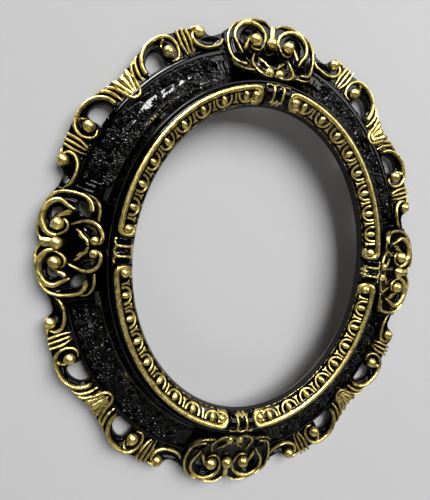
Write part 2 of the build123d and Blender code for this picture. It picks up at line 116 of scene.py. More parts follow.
def quarter(shares, far):
    """Plan points of a line of turns and out shares, counted from the side or from the top."""
    turns, outs = np.array(shares, float).T
    turns = from_start(turns, far)
    return place(turns, out_of(outs, turns))


def out_at(points):
    """Distance out of plan points, by a few Newton steps to the nearest point of the edge."""
    x, z = np.abs(points).T
    turn = np.arctan2(z * sight_half_width, x * sight_half_height)
    a, b = sight_half_width, sight_half_height
    for _ in range(8):
        c, s = np.cos(turn), np.sin(turn)
        miss = (x - a * c) * a * s - (z - b * s) * b * c
        rate = a * a * s * s + (x - a * c) * a * c + b * b * c * c + (z - b * s) * b * s
        turn = turn - miss / rate
    return np.hypot(x - a * np.cos(turn), z - b * np.sin(turn))


# %% [markdown]
# ## Smooth lines
# A carver draws a scroll through a few points. A cubic spline does the same: it passes through
# each point with no kink, and a closed line joins up with itself.

# %% Splines and the cove
def hump(distance, half_width):
    """1 on a line, falling round to 0 at half a width from it."""
    return np.clip(1 - (distance / half_width) ** 2, 0, 1)


def spline(points, closed=False, count=100):
    """Smooth line through plan points, sampled evenly."""
    p = np.array(points, float)
    if closed:
        p = np.vstack([p, p[:1]])
    s = np.concatenate([[0], np.cumsum(np.linalg.norm(np.diff(p, axis=0), axis=1))])
    h, n = np.diff(s), len(p)
    matrix, right = np.zeros((n, n)), np.zeros((n, p.shape[1]))
    for i in range(1, n - 1):
        matrix[i, i - 1 : i + 2] = h[i - 1], 2 * (h[i - 1] + h[i]), h[i]
        right[i] = 6 * ((p[i + 1] - p[i]) / h[i] - (p[i] - p[i - 1]) / h[i - 1])
    matrix[0, 0] = matrix[-1, -1] = 1
    if closed:
        matrix[0, -1] = -1
        matrix[-1, [0, 1]] = 2 * h[0], h[0]
        matrix[-1, [-2, -1]] = h[-1], 2 * h[-1]
        right[-1] = 6 * ((p[1] - p[0]) / h[0] - (p[-1] - p[-2]) / h[-1])
    bend = np.linalg.solve(matrix, right)
    u = np.linspace(0, s[-1], count, endpoint=not closed)
    i = np.clip(np.searchsorted(s, u, side="right") - 1, 0, n - 2)
    near, gap = (u - s[i])[:, None], h[i][:, None]
    far = gap - near
    curve = (bend[i] * far**3 + bend[i + 1] * near**3) / (6 * gap)
    low, high = p[i] / gap - bend[i] * gap / 6, p[i + 1] / gap - bend[i + 1] * gap / 6
    return curve + low * far + high * near


cove_line = spline(np.array(cove_places) * mm, count=200)


def cove_height(out):
    """Height of the ring's front above the wall, at a distance out."""
    return np.interp(out, cove_line[:, 0], cove_line[:, 1], right=border_lift)


print("cove runs from", cove_line[0].round(4), "to", cove_line[-1].round(4))

# %% [markdown]
# ## Finishes
# The real frame is painted glossy black, then gold is rubbed on with a nearly dry brush, so it
# stays on what stands proud. Each carved piece therefore carries a number at every point, "gilt",
# that says how proud it is, from 0 to 1, or -1 on the back, which is left bare and matt. The
# material breaks that number up with noise and turns it into gold. The gold's tone runs from a
# dark olive-brown to cream. Part of this is uneven rubbing in random patches, and part is painted
# highlight and painted shade, lighter the prouder the part. The maths of a material is written as
# sums and products of sockets by one small class.

# %% A class for material maths
class Wire:
    """A socket in a material. Sums and products of sockets add Math nodes."""

    def __init__(self, tree, socket=None):
        self.tree, self.socket = tree, socket

    def node(self, kind, settings, values, output=0):
        """Add a node: first its settings, then the values or links of its sockets."""
        made = self.tree.nodes.new(kind)
        for name, setting in settings.items():
            setattr(made, name, setting)
        for name, value in values.items():
            if isinstance(value, Wire):
                self.tree.links.new(value.socket, made.inputs[name])
            else:
                made.inputs[name].default_value = value
        return Wire(self.tree, made.outputs[output]) if len(made.outputs) else None

    def maths(self, operation, first, second, clamp=False):
        settings = {"operation": operation, "use_clamp": clamp}
        return self.node("ShaderNodeMath", settings, {0: first, 1: second})

    def __add__(self, other):
        return self.maths("ADD", self, other)

    def __sub__(self, other):
        return self.maths("SUBTRACT", self, other)

    def __rsub__(self, other):
        return self.maths("SUBTRACT", other, self)

    def __mul__(self, other):
        return self.maths("MULTIPLY", self, other)

    def clamped(self):
        return self.maths("ADD", self, 0.0, clamp=True)

    def blend(self, low, high):
        """Colour between two colours, by this value."""
        settings = {"data_type": "RGBA", "clamp_factor": True}
        return self.node("ShaderNodeMix", settings, {0: self, 6: low, 7: high}, output=2)

    __radd__ = __add__
    __rmul__ = __mul__


def new_material(name):
    """Material with an empty tree, and the wire that starts it."""
    material = bpy.data.materials.new(name)
    material.use_nodes = True
    material.node_tree.nodes.clear()
    return material, Wire(material.node_tree)


def noise(wire, scale, detail, stretch=(1, 1, 1)):
    """Noise on the object's own coordinates; scale counts features to the metre."""
    place_on = wire.node("ShaderNodeTexCoord", {}, {}, output="Object")
    place_on = wire.node("ShaderNodeMapping", {}, {"Vector": place_on, "Scale": stretch})
    values = {"Vector": place_on, "Scale": scale, "Detail": detail}
    return wire.node("ShaderNodeTexNoise", {}, values, output="Fac")


def surface(wire, shader_values, bump):
    """Finish a material with a Principled shader and a bump."""
    height, strength, distance = bump
    values = {"Height": height, "Strength": strength, "Distance": distance}
    normal = wire.node("ShaderNodeBump", {}, values)
    shader = wire.node("ShaderNodeBsdfPrincipled", {}, {**shader_values, "Normal": normal})
    wire.node("ShaderNodeOutputMaterial", {"target": "ALL"}, {"Surface": shader})


# %% Lacquer with gold, and plated steel
lacquer_black, bare_back = (0.001, 0.001, 0.001, 1), (0.06, 0.05, 0.042, 1)
# the dark gold and the cream gold are gold as it looks in shade and in a highlight, painted into
# the colour, besides uneven rubbing
worn_and_shaded_gold, bright_and_highlit_gold = (0.17, 0.1, 0.008, 1), (1.0, 0.84, 0.33, 1)
dark_nickel, light_nickel = (0.42, 0.41, 0.40, 1), (0.66, 0.65, 0.63, 1)


def gilded_material(name, most_gold):
    """Black lacquer with gold rubbed on wherever the piece's gilt is high, with painted highlight
    and shade.
    """
    material, wire = new_material(name)
    gilt = wire.node("ShaderNodeAttribute", {"attribute_name": "gilt"}, {}, output="Fac")
    patches, streaks, grain = noise(wire, 260, 4.0), noise(wire, 900, 3.0), noise(wire, 2600, 2.0)
    broken = gilt + (patches - 0.5) * 0.55 + (streaks - 0.5) * 0.55
    rubbed = ((broken - (1 - most_gold)) * 4.0).clamped()
    # gold tone: random patches of uneven rubbing, plus painted highlight and shade, lighter the
    # prouder the part
    wear_and_painted_light = (patches * 1.8 + streaks * 1.8 + gilt * 0.5 - 1.76).clamped()
    gold = wear_and_painted_light.blend(worn_and_shaded_gold, bright_and_highlit_gold)
    bare = (gilt * -3.0 - 2.0).clamped()
    ground = bare.blend(lacquer_black, bare_back)
    values = {
        "Base Color": rubbed.blend(ground, gold),
        "Metallic": rubbed * 0.9,
        "Roughness": 0.05 + rubbed * (0.19 + grain * 0.2) + bare * 0.5,
        "Coat Weight": 0.06 - rubbed * 0.05,
        "Coat Roughness": 0.04,
        "Specular IOR Level": 0.14,
    }
    surface(wire, values, ((streaks + grain * 0.5) * (rubbed * 0.93 + 0.07), 0.3, 0.0004))
    return material


def steel_material():
    """Nickel-plated steel, faintly brushed and clouded."""
    material, wire = new_material("plated_steel")
    brushed, clouds = noise(wire, 900, 2.0, stretch=(1, 1, 12)), noise(wire, 120, 4.0)
    values = {
        "Base Color": clouds.blend(dark_nickel, light_nickel),
        "Metallic": 1.0,
        "Roughness": 0.22 + clouds * 0.14 + brushed * 0.06,
    }
    surface(wire, values, (brushed, 0.15, 0.0002))
    return material


finishes = {
    "black_lacquer": gilded_material("black_lacquer", 0.2),
    "gold_over_black": gilded_material("gold_over_black", 0.6),
    "antique_gold": gilded_material("antique_gold", 0.68),
    "plated_steel": steel_material(),
}
print("finishes", list(finishes))

# %% [markdown]
# ## Carving
# A pressed ornament is a relief: seen from the front, every place has one height. So a carved
# piece is a flat outline filled with triangles, whose points are then lifted to the height of
# the carving there. Points are set along the edges and the ridges first and on a grid after,
# which keeps both crisp with few triangles. Then a back and side walls close it. Straight edges
# are bowed by a hair, because three points in a line would leave a triangle with no area.

# %% Distances, and thinning points out
def gap_to(points, line, closed=False):
    """Distance from plan points to a sampled line, and how far along it the nearest place is."""
    ends = np.vstack([line, line[:1]]) if closed else line
    step = np.diff(ends, axis=0)
    square = np.maximum((step**2).sum(1), 1e-18)
    gaps, shares = [], []
    for some in np.array_split(points, len(points) // 2000 + 1):
        reach = some[:, None] - ends[:-1]
        share = np.clip((reach * step).sum(-1) / square, 0, 1)
        gap = np.linalg.norm(reach - share[..., None] * step, axis=-1)
        nearest = gap.argmin(1)
        row = np.arange(len(some))
        gaps.append(gap[row, nearest])
        shares.append((nearest + share[row, nearest]) / len(step))
    return np.concatenate(gaps), np.concatenate(shares)


def inside(points, outline):
    """Which plan points lie inside a closed outline."""
    x, z = points[:, :1], points[:, 1:]
    low, high = outline, np.roll(outline, -1, 0)
    crosses = (low[:, 1] > z) != (high[:, 1] > z)
    rise = np.where(crosses, high[:, 1] - low[:, 1], 1)
    edge = low[:, 0] + (z - low[:, 1]) * (high[:, 0] - low[:, 0]) / rise
    return (crosses & (x < edge)).sum(1) % 2 == 1


def within(points, loops):
    """Which plan points lie inside the first loop and outside the others, its holes."""
    use = inside(points, loops[0])
    for hole in loops[1:]:
        use &= ~inside(points, hole)
    return use


def evenly(line, spacing, closed=False):
    """The same line with its points an even distance apart."""
    ends = np.vstack([line, line[:1]]) if closed else line
    length = np.concatenate([[0], np.cumsum(np.linalg.norm(np.diff(ends, axis=0), axis=1))])
    count = max(4, int(round(length[-1] / spacing)) + (0 if closed else 1))
    at = np.linspace(0, length[-1], count, endpoint=not closed)
    return np.stack([np.interp(at, length, ends[:, axis]) for axis in (0, 1)], 1)


def beside(line, shift):
    """The line moved sideways by a shift."""
    along = np.gradient(line, axis=0)
    along /= np.maximum(np.linalg.norm(along, axis=1), 1e-12)[:, None]
    return line + np.stack([along[:, 1], -along[:, 0]], 1) * shift


def spaced(points, taken, gap):
    """The points that are no nearer than a gap to each other or to those already taken."""
    cells = {}
    kept = []
    for number, point in enumerate(np.vstack([taken, points])):
        cell = (int(point[0] // gap), int(point[1] // gap))
        near = [cells.get((cell[0] + i, cell[1] + j)) for i in (-1, 0, 1) for j in (-1, 0, 1)]
        clear = all(other is None or np.hypot(*(other - point)) >= gap for other in near)
        if number < len(taken) or clear:
            cells[cell] = point
        if number >= len(taken) and clear:
            kept.append(point)
    return np.array(kept).reshape(-1, 2)


# %% Filling an outline and closing it
def grid_over(outline, spacing):
    """Points on a triangular grid over an outline."""
    low, high = outline.min(0), outline.max(0)
    columns, rows = np.arange(low[0], high[0], spacing), np.arange(low[1], high[1], spacing * 0.87)
    x, z = np.meshgrid(columns, rows, indexing="ij")
    x = x + (np.arange(x.shape[1]) % 2) * spacing / 2
    return np.stack([x.ravel(), z.ravel()], 1)


def fill(loops, wanted, margin, gap):
    """Points and triangles over an outline with holes, through the wanted points.

    A triangle between points of one loop lies within the outline where it runs as the loop does.
    Others are judged by their middles.
    """
    taken = np.vstack(loops)
    wanted = wanted[within(wanted, loops)]
    for loop in loops:
        wanted = wanted[gap_to(wanted, loop, closed=True)[0] > margin]
    points = np.vstack([taken, spaced(wanted, taken, gap)])
    edges, start = [], 0
    for loop in loops:
        count = len(loop)
        edges += [(start + i, start + (i + 1) % count) for i in range(count)]
        start += count
    flat = [Vector(point) for point in (points / mm).tolist()]
    _, _, faces, origins, _, _ = delaunay_2d_cdt(flat, edges, [], 0, 1e-6)
    triangles = np.array([[origins[corner][0] for corner in face] for face in faces])
    use = within(points[triangles].mean(1), loops)
    owner = np.full(len(points), -1)
    owner[: len(taken)] = np.repeat(np.arange(len(loops)), [len(loop) for loop in loops])
    owners = owner[triangles]
    on_one_loop = (owners[:, 0] >= 0) & (owners == owners[:, :1]).all(1)
    a, b, c = triangles.T
    in_order = ((a < b) & (b < c)) | ((b < c) & (c < a)) | ((c < a) & (a < b))
    return points, triangles[np.where(on_one_loop, in_order, use)]


def turned(loop, clockwise):
    """The loop, running clockwise or not as asked."""
    x, z = loop[:, 0], loop[:, 1]
    area = (x * np.roll(z, -1) - np.roll(x, -1) * z).sum()
    return loop[::-1] if (area < 0) != clockwise else loop


def bowed(loop, bow=0.004 * mm):
    """The loop with its straight runs bowed out by a hair, so that no three points line up."""
    before, after = loop - np.roll(loop, 1, 0), np.roll(loop, -1, 0) - loop
    bend = before[:, 0] * after[:, 1] - before[:, 1] * after[:, 0]
    straight = np.abs(bend) < 1e-6 * np.hypot(*before.T) * np.hypot(*after.T)
    if not straight.any():
        return loop
    first = int(np.argmin(straight))
    loop, straight = np.roll(loop, -first, 0), np.roll(straight, -first)
    bowed_loop, corners = loop.copy(), np.append(np.flatnonzero(~straight), len(loop))
    for low, high in zip(corners, corners[1:]):
        along = loop[high % len(loop)] - loop[low]
        along = along / np.linalg.norm(along)
        share = np.arange(high - low)[:, None] / (high - low)
        bowed_loop[low:high] += np.array([along[1], -along[0]]) * bow * 4 * share * (1 - share)
    return bowed_loop


edge_spacing, back_spacing = 0.55 * mm, 4 * mm


def carve(outline, holes, guides, top, back, spacing=0.6 * mm, edge_radius=1.0 * mm, back_rows=()):
    """Closed shape over an outline: points, faces and gilt. The heights come from two functions."""
    loops = [bowed(turned(evenly(outline, edge_spacing, True), False))]
    loops += [bowed(turned(evenly(hole, edge_spacing, True), True)) for hole in holes]
    rows = [beside(loop, -shift * edge_radius) for loop in loops for shift in (0.15, 0.5, 1.0)]
    for line, width in guides:
        line = evenly(line, 0.6 * mm)
        rows += [beside(line, shift * width) for shift in (0, 0.45, -0.45, 0.8, -0.8, 1, -1)]
    rows.append(grid_over(loops[0], spacing))
    front, front_faces = fill(loops, np.vstack(rows), 0.1 * mm, 0.3 * mm)
    coarse = [evenly(row, 2 * mm) for row in back_rows] + [grid_over(loops[0], back_spacing)]
    rear, rear_faces = fill(loops, np.vstack(coarse), 0.4 * mm, 0.25 * mm)
    gap = np.min([gap_to(front, loop, closed=True)[0] for loop in loops], axis=0)
    height, gilt = top(front)
    bevel = np.clip(1 - gap / edge_radius, 0, 1)
    height = height - edge_radius * (1 - np.sqrt(1 - bevel**2))
    low = back(rear)
    rim = sum(len(loop) for loop in loops)
    height[:rim] = np.maximum(height[:rim], low[:rim] + 0.1 * mm)
    plan, heights = np.vstack([front, rear]), np.concatenate([height, low])
    points = np.stack([plan[:, 0], -heights, plan[:, 1]], 1)
    under = len(front)
    faces = front_faces.tolist() + (rear_faces[:, ::-1] + under).tolist()
    start = 0
    for loop in loops:
        count = len(loop)
        for i in range(count):
            a, b = start + i, start + (i + 1) % count
            faces.append([under + a, under + b, b, a])
        start += count
    return points, faces, np.concatenate([gilt, np.full(len(rear), -1.0)])


def ridge_relief(points, floor, ridges, floor_gilt=0.0):
    """Height and gilt of round ridges on a floor. A ridge that falls is a groove or hollow."""
    height, gilt = floor.copy(), np.full(len(points), floor_gilt)
    for line, width, rise, taper_start, taper_end in sorted(ridges, key=lambda ridge: ridge[2] < 0):
        gap, share = gap_to(points, line)
        at_start = np.clip(share / max(taper_start, 1e-6), 0, 1)
        at_end = np.clip((1 - share) / max(taper_end, 1e-6), 0, 1)
        slim = np.sqrt(np.minimum(at_start, at_end) * 0.85 + 0.15)
        round_top = hump(gap, width * slim)
        if rise < 0:
            height = height + rise * slim * round_top
            gilt = np.maximum(gilt - round_top * (width < 1 * mm), 0)
        else:
            round_top = round_top**0.4
            height = np.maximum(height, floor + rise * slim * round_top)
            gilt = np.maximum(gilt, round_top)
    return height, gilt


# %% Balls, joining and placing
def ring_quads(low, high, around):
    """Faces between two rings of points that start at two indices."""
    turns = range(around)
    return [[low + i, high + i, high + (i + 1) % around, low + (i + 1) % around] for i in turns]


def ball(centre, radii, around=28, up=16):
    """Closed ball or egg at a plan point and height, gold towards its top."""
    x, z, height = centre
    rings = np.linspace(0, pi, up + 1)[1:-1]
    turns = np.linspace(0, 2 * pi, around, endpoint=False)
    points = [(x, -height - radii[2], z)]
    for ring in rings:
        side, depth = sin(ring), -height - radii[2] * cos(ring)
        for turn in turns:
            wide, tall = radii[0] * side * cos(turn), radii[1] * side * sin(turn)
            points.append((x + wide, depth, z + tall))
    points.append((x, -height + radii[2], z))
    faces = [[0, 1 + i, 1 + (i + 1) % around] for i in range(around)]
    for a in range(1, 1 + (up - 2) * around, around):
        faces += ring_quads(a, a + around, around)
    a = 1 + (up - 2) * around
    faces += [[a + i, len(points) - 1, a + (i + 1) % around] for i in range(around)]
    points = np.array(points)
    share = np.clip((-points[:, 1] - height) / radii[2], -0.2, 1)
    return points, faces, 0.2 + 0.8 * np.clip(share * 1.6 + 0.25, 0, 1)


def joined(shapes):
    """Several shapes as one."""
    points, faces, gilt, start = [], [], [], 0
    for shape_points, shape_faces, shape_gilt in shapes:
        points.append(shape_points)
        faces += [[corner + start for corner in face] for face in shape_faces]
        gilt.append(shape_gilt)
        start += len(shape_points)
    return np.vstack(points), faces, np.concatenate(gilt)


def mirrored(shape, across, up):
    """A top right shape in another quarter, with its faces still pointing outwards."""
    points, faces, gilt = shape
    points = points * (across, 1, up)
    return points, [face[::-1] for face in faces] if across * up < 0 else faces, gilt


def mesh_of(name, shape, slot):
    """Mesh of a shape, smooth but for its sharp edges."""
    points, faces, gilt = shape
    mesh = bpy.data.meshes.new(name)
    mesh.from_pydata(points.tolist(), [], faces)
    mesh.attributes.new("gilt", "FLOAT", "POINT").data.foreach_set("value", gilt.astype(float))
    mesh.shade_smooth()
    mesh.set_sharp_from_angle(angle=radians(60))
    mesh.materials.append(finishes[slot])
    return mesh


def in_scene(name, data):
    """New object in the scene."""
    made = bpy.data.objects.new(name, data)
    bpy.context.collection.objects.link(made)
    return made


def points_of(mesh):
    """The points of a mesh, a row each."""
    points = np.empty(len(mesh.vertices) * 3)
    mesh.vertices.foreach_get("co", points)
    return points.reshape(-1, 3)


def faced_outwards(mesh):
    """Turn all faces of a mesh outwards, and give them as lists of corners."""
    shaper = bmesh.new()
    shaper.from_mesh(mesh)
    bmesh.ops.recalc_face_normals(shaper, faces=shaper.faces)
    shaper.to_mesh(mesh)
    shaper.free()
    return [list(polygon.vertices) for polygon in mesh.polygons]


def add_piece(name, mesh, replaced, body="frame"):
    """Put a mesh in the scene as the piece that stands for some nodes."""
    piece = in_scene(name, mesh)
    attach(piece, body)
    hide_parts(*replaced)


def set_out(name, shape, slot, places=quadrants):
    """The same ornament mirrored to each of its places, in all four quarters if none are given."""
    for label, (across, up) in places.items():
        label = f"{name}_{label}"
        mesh = mesh_of(label, mirrored(shape, across, up), slot)
        add_piece(f"carved_{label}", mesh, [label])
    print(name, "points", len(shape[0]), "faces", len(shape[1]))


# %% [markdown]
# ## Base ring
# The oval body is one section carried round the sight edge, so Geometry Nodes sweep it: the
# modifier takes the section as a loop of edges and two numbers for the oval. The eight small
# leaf-shaped holes beside the cartouches are then cut through it.

# %% A tree that sweeps a section round the oval
def tree_of(name, inputs):
    """Geometry Nodes tree with its named inputs."""
    tree = bpy.data.node_groups.new(name, "GeometryNodeTree")
    tree.interface.new_socket("Geometry", in_out="INPUT", socket_type="NodeSocketGeometry")
    for label, kind in inputs:
        tree.interface.new_socket(label, in_out="INPUT", socket_type=f"NodeSocket{kind}")
    tree.interface.new_socket("Geometry", in_out="OUTPUT", socket_type="NodeSocketGeometry")
    return tree, Wire(tree)


def ends_in_material(wire, geometry, material):
    """Finish a tree: realize its instances and set the material."""
    plain = wire.node("GeometryNodeRealizeInstances", {}, {0: geometry})
    painted = wire.node("GeometryNodeSetMaterial", {}, {"Geometry": plain, "Material": material})
    wire.node("NodeGroupOutput", {}, {0: painted})


def baked(start_mesh, tree, values):
    """Plain mesh that a tree makes from a start mesh and its input values."""
    holder = in_scene("holder", start_mesh)
    modifier = holder.modifiers.new("nodes", "NODES")
    modifier.node_group = tree
    for item in tree.interface.items_tree:
        if item.in_out == "INPUT" and item.name in values:
            modifier[item.identifier] = values[item.name]
    depsgraph = bpy.context.evaluated_depsgraph_get()
    mesh = bpy.data.meshes.new_from_object(holder.evaluated_get(depsgraph))
    bpy.data.objects.remove(holder)
    return mesh


def inputs_of(wire):
    """The inputs of a tree, as wires by their names."""
    group = wire.tree.nodes.new("NodeGroupInput")
    return {socket.name: Wire(wire.tree, socket) for socket in group.outputs}


sweep_tree, wire = tree_of(
    "Sweep round the oval",
    [("Half Width", "Float"), ("Half Height", "Float"), ("Steps", "Int"), ("Finish", "Material")],
)
given = inputs_of(wire)
unit = {"Resolution": given["Steps"], "Radius": 1.0}
circle = wire.node("GeometryNodeCurvePrimitiveCircle", {}, unit)
scale = {0: given["Half Width"], 1: given["Half Height"], 2: 1.0}
scale = wire.node("ShaderNodeCombineXYZ", {}, scale)
oval = wire.node("GeometryNodeTransform", {}, {"Geometry": circle, "Scale": scale})
section = wire.node("GeometryNodeMeshToCurve", {}, {"Mesh": given["Geometry"]})
swept = wire.node("GeometryNodeCurveToMesh", {}, {"Curve": oval, "Profile Curve": section})
upright = wire.node("GeometryNodeTransform", {}, {"Geometry": swept, "Rotation": (pi / 2, 0, 0)})
ends_in_material(wire, upright, given["Finish"])

# %% Sweep the ring and cut its holes
lip_back_height, rebate_width = 27.0 * mm, 8.0 * mm
ledge_height, ledge_width = 14.0 * mm, 22.5 * mm
foot_width, foot_chamfer_width, foot_chamfer_height = 20.0 * mm, 4.0 * mm, 9.0 * mm
seat_end = moulding_width + 0.3 * mm
# distance out and height of the bead between seat and cove, in millimetres
arris = [
    (16.5, 35.6), (16.65, 36.25), (17.0, 36.65), (17.6, 36.98), (18.3, 37.22), (18.8, 37.3),
    (19.25, 37.2), (19.6, 36.85),
]
corners = [(out * mm, height * mm) for out, height in arris]
corners += [tuple(point) for point in cove_line[5::4]] + [tuple(cove_line[-1])]
corners += [
    (ring_width, 0.0),
    (ring_width - foot_width, 0.0),
    (ring_width - foot_width - foot_chamfer_width, foot_chamfer_height),
    (rebate_width + ledge_width, ledge_height),
    (rebate_width, ledge_height),
    (rebate_width, lip_back_height),
    (0.0, lip_back_height),
    (0.0, seat_height),
    (seat_end, seat_height),
]
section_mesh = bpy.data.meshes.new("ring_section")
loop = [(i, (i + 1) % len(corners)) for i in range(len(corners))]
section_mesh.from_pydata([(out, -height, 0) for out, height in corners], loop, [])
ring_values = {
    "Half Width": sight_half_width,
    "Half Height": sight_half_height,
    "Steps": 360,
    "Finish": finishes["black_lacquer"],
}
ring_mesh = baked(section_mesh, sweep_tree, ring_values)
leaf_hole = [
    (8.4, -0.33), (8.3, -0.27), (9.1, -0.19), (10.4, -0.14), (11.9, -0.14), (12.1, -0.2),
    (11.3, -0.28), (10.0, -0.33),
]
leaf_holes = {far: spline(quarter(leaf_hole, far), closed=True, count=48) for far in halves}
cutter_back, cutter_front = 0.002, -0.05
shaper = bmesh.new()
for far in halves:
    for across, up in quadrants.values():
        outline = turned(leaf_holes[far] * (across, up), False)
        rear = [shaper.verts.new((x, cutter_back, z)) for x, z in outline]
        front = [shaper.verts.new((x, cutter_front, z)) for x, z in outline]
        shaper.faces.new(front)
        shaper.faces.new(rear[::-1])
        for i in range(len(rear)):
            j = (i + 1) % len(rear)
            shaper.faces.new((rear[i], rear[j], front[j], front[i]))
cutter_mesh = bpy.data.meshes.new("leaf_hole_cutters")
shaper.to_mesh(cutter_mesh)
shaper.free()
faced_outwards(ring_mesh)
ring, cutter = in_scene("base_ring_swept", ring_mesh), in_scene("cutter", cutter_mesh)
modifier = ring.modifiers.new("holes", "BOOLEAN")
modifier.operation, modifier.object, modifier.solver = "DIFFERENCE", cutter, "EXACT"
depsgraph = bpy.context.evaluated_depsgraph_get()
cut_mesh = bpy.data.meshes.new_from_object(ring.evaluated_get(depsgraph))
for item in (ring, cutter):
    bpy.data.objects.remove(item)
cut_points = points_of(cut_mesh)
rear_height = cove_height(np.minimum(out_at(cut_points[:, ::2]), ring_width)) - 3 * mm
at_rear = -cut_points[:, 1] < np.minimum(rear_height, ledge_height + glue_line)
cut_gilt = np.where(at_rear, -1.0, 0.0)
cut_mesh.attributes.new("gilt", "FLOAT", "POINT").data.foreach_set("value", cut_gilt)
cut_mesh.shade_smooth()
cut_mesh.set_sharp_from_angle(angle=radians(35))
add_piece("oval_base_ring", cut_mesh, ["base_ring"])
print("ring faces", len(cut_mesh.polygons))

# %% [markdown]
# ## Border scrolls
# Each quarter has, from its side to its top, a scroll that ends in a ball, ribs, a large C-scroll
# round a hole, a leaf, and the same again mirrored. A piece is drawn once for the side and once
# for the top, where the oval curves faster, and mirrored to the other quarters.

# %% The floor and back of a border piece
def border_back(points):
    """Height of a border piece's back: glued on the cove, and clear of the wall beyond it."""
    out = out_at(points)
    on_ring = out < ring_width + glue_line
    return np.where(on_ring, cove_height(out - glue_line) + glue_line, border_lift)


def border_top(floor_height, ridges, floor_gilt=0.0):
    """Function for the front of a border piece: its floor and the ridges on it."""

    def top(points):
        out = out_at(points)
        over_rim = cove_height(np.minimum(out, ring_width)) + 0.6 * mm
        blend = np.clip((out - ring_width) / (2 * mm), 0, 1)
        floor = over_rim * (1 - blend) + floor_height * blend
        return ridge_relief(points, floor, ridges, floor_gilt)

    return top


def ring_line(start, end, share, far, count=60):
    """Line along the ring between two turns at one out share."""
    return quarter([(turn, share) for turn in np.linspace(start, end, count)], far)


def lines_of(table, far, count=90):
    """Sampled ridges from a table of places, half widths, rises and tapers at both ends."""
    rows = []
    for shares, width, rise, *tapers in table:
        rows.append((spline(quarter(shares, far), count=count), width * mm, rise * mm, *tapers))
    return rows


def guides_of(ridges):
    """Lines and half widths that a piece's points follow."""
    return [(line, width) for line, width, *_ in ridges]


def border_body(outline, ridges, top, rim, holes=()):
    """Carved border piece, with rows of points that keep the step at the ring's edge clean."""
    steps = [place(rim, ring_width + shift) for shift in (-0.1 * mm, 0.3 * mm)]
    return carve(outline, holes, guides_of(ridges), top, border_back, back_rows=steps)


def stud(plan, height, radius):
    """Ball of a height and radius in millimetres at a plan point."""
    return ball((*plan, height * mm), (radius * mm,) * 3)


def scroll(edge, base, ridges, start, end, eye, far):
    """Border scroll between two turns, with a ball in its eye."""
    outline = np.vstack([spline(quarter(edge, far), count=120), *base])
    ridges, rim = lines_of(ridges, far), from_start(np.linspace(start, end, 60), far)
    body = border_body(outline, ridges, border_top(border_floor, ridges), rim)
    where, height, radius = eye
    return joined([body, stud(quarter([where], far)[0], height, radius)])


# %% Ball scrolls
# a ridge is a line of turns and out shares, then half width and rise in millimetres, and the
# shares of its length over which it tapers at its start and end
ball_scroll_edge = [
    (14.2, 0.53), (16.0, 0.49), (17.8, 0.5), (18.7, 0.62), (19.3, 0.78), (20.7, 0.88), (22.5, 0.88),
    (25.0, 0.91), (27.3, 0.93),
]
ball_scroll_ridges = [
    ([(14.3, 0.3), (15.6, 0.1), (17.5, 0.02), (19.5, 0.02), (21.5, 0.12), (22.9, 0.32),
      (23.1, 0.55), (22.2, 0.76)], 1.8, 5.0, 0.2, 0.2),
    ([(24.3, -0.02), (24.1, 0.35), (24.2, 0.6), (24.4, 0.88)], 1.5, 4.6, 0.6, 0.0),
    ([(25.4, 0.02), (25.5, 0.4), (25.6, 0.9)], 1.6, 4.8, 0.6, 0.0),
    ([(26.1, 0.0), (26.8, 0.3), (26.9, 0.9)], 1.7, 5.0, 0.6, 0.0),
    ([(19.0, 0.68), (19.7, 0.8), (21.4, 0.84), (23.4, 0.84)], 1.5, 3.2, 0.4, 0.2),
    ([(16.0, 0.3), (18.0, 0.25), (20.5, 0.35)], 4.5, -2.0, 0.3, 0.3),
]
# the eye's turn and out share, and its height and radius in millimetres
ball_scroll_eye = ((20.7, 0.66), 8.3, 5.2)
base_share = -0.05
for far, side in halves.items():
    base = [ring_line(27.3, 14.2, base_share, far)]
    shape = scroll(ball_scroll_edge, base, ball_scroll_ridges, 14.2, 27.3, ball_scroll_eye, far)
    set_out(f"ball_scroll_{side}", shape, "gold_over_black")

# %% C-scrolls
scroll_hole = [
    (32.9, -0.05), (33.1, 0.2), (33.0, 0.45), (33.5, 0.64), (35.0, 0.7), (36.8, 0.63), (38.0, 0.5),
    (38.8, 0.32), (38.9, 0.12), (38.2, -0.05),
]
c_scroll_edge = [
    (27.3, 0.93), (29.2, 0.97), (31.3, 1.0), (33.7, 1.0), (36.2, 0.96), (38.7, 0.84), (40.8, 0.75),
    (43.2, 0.71),
]
c_scroll_ridges = [
    ([(31.4, 0.02), (29.8, -0.01), (28.6, 0.14), (28.15, 0.4), (28.6, 0.66), (29.9, 0.86),
      (32.0, 0.94), (34.3, 0.93), (36.6, 0.84), (38.3, 0.68), (39.4, 0.49), (40.0, 0.28),
      (40.1, 0.06)], 2.2, 5.0, 0.6, 0.0),
    ([(38.6, 0.84), (40.2, 0.71), (41.1, 0.54), (41.6, 0.36), (41.9, 0.15), (41.9, -0.03)], 1.7,
      4.6, 0.4, 0.3),
    ([(40.6, 0.73), (42.0, 0.62), (42.9, 0.42), (43.4, 0.2)], 1.5, 4.4, 0.3, 0.1),
    ([(32.4, 0.58), (31.9, 0.72), (30.7, 0.8)], 1.5, 3.6, 0.4, 0.2),
    ([(30.2, 0.5), (31.9, 0.7), (34.0, 0.78)], 2.6, -2.4, 0.3, 0.3),
]
c_scroll_eye = ((31.2, 0.34), 10.6, 5.3)
for far, side in halves.items():
    notch = spline(quarter(scroll_hole[::-1], far), count=120)
    after, before = (ring_line(*ends, base_share, far, 20) for ends in ((43.2, 38.3), (32.8, 27.3)))
    base = [after, notch, before]
    shape = scroll(c_scroll_edge, base, c_scroll_ridges, 27.3, 43.2, c_scroll_eye, far)
    set_out(f"c_scroll_{side}", shape, "gold_over_black")

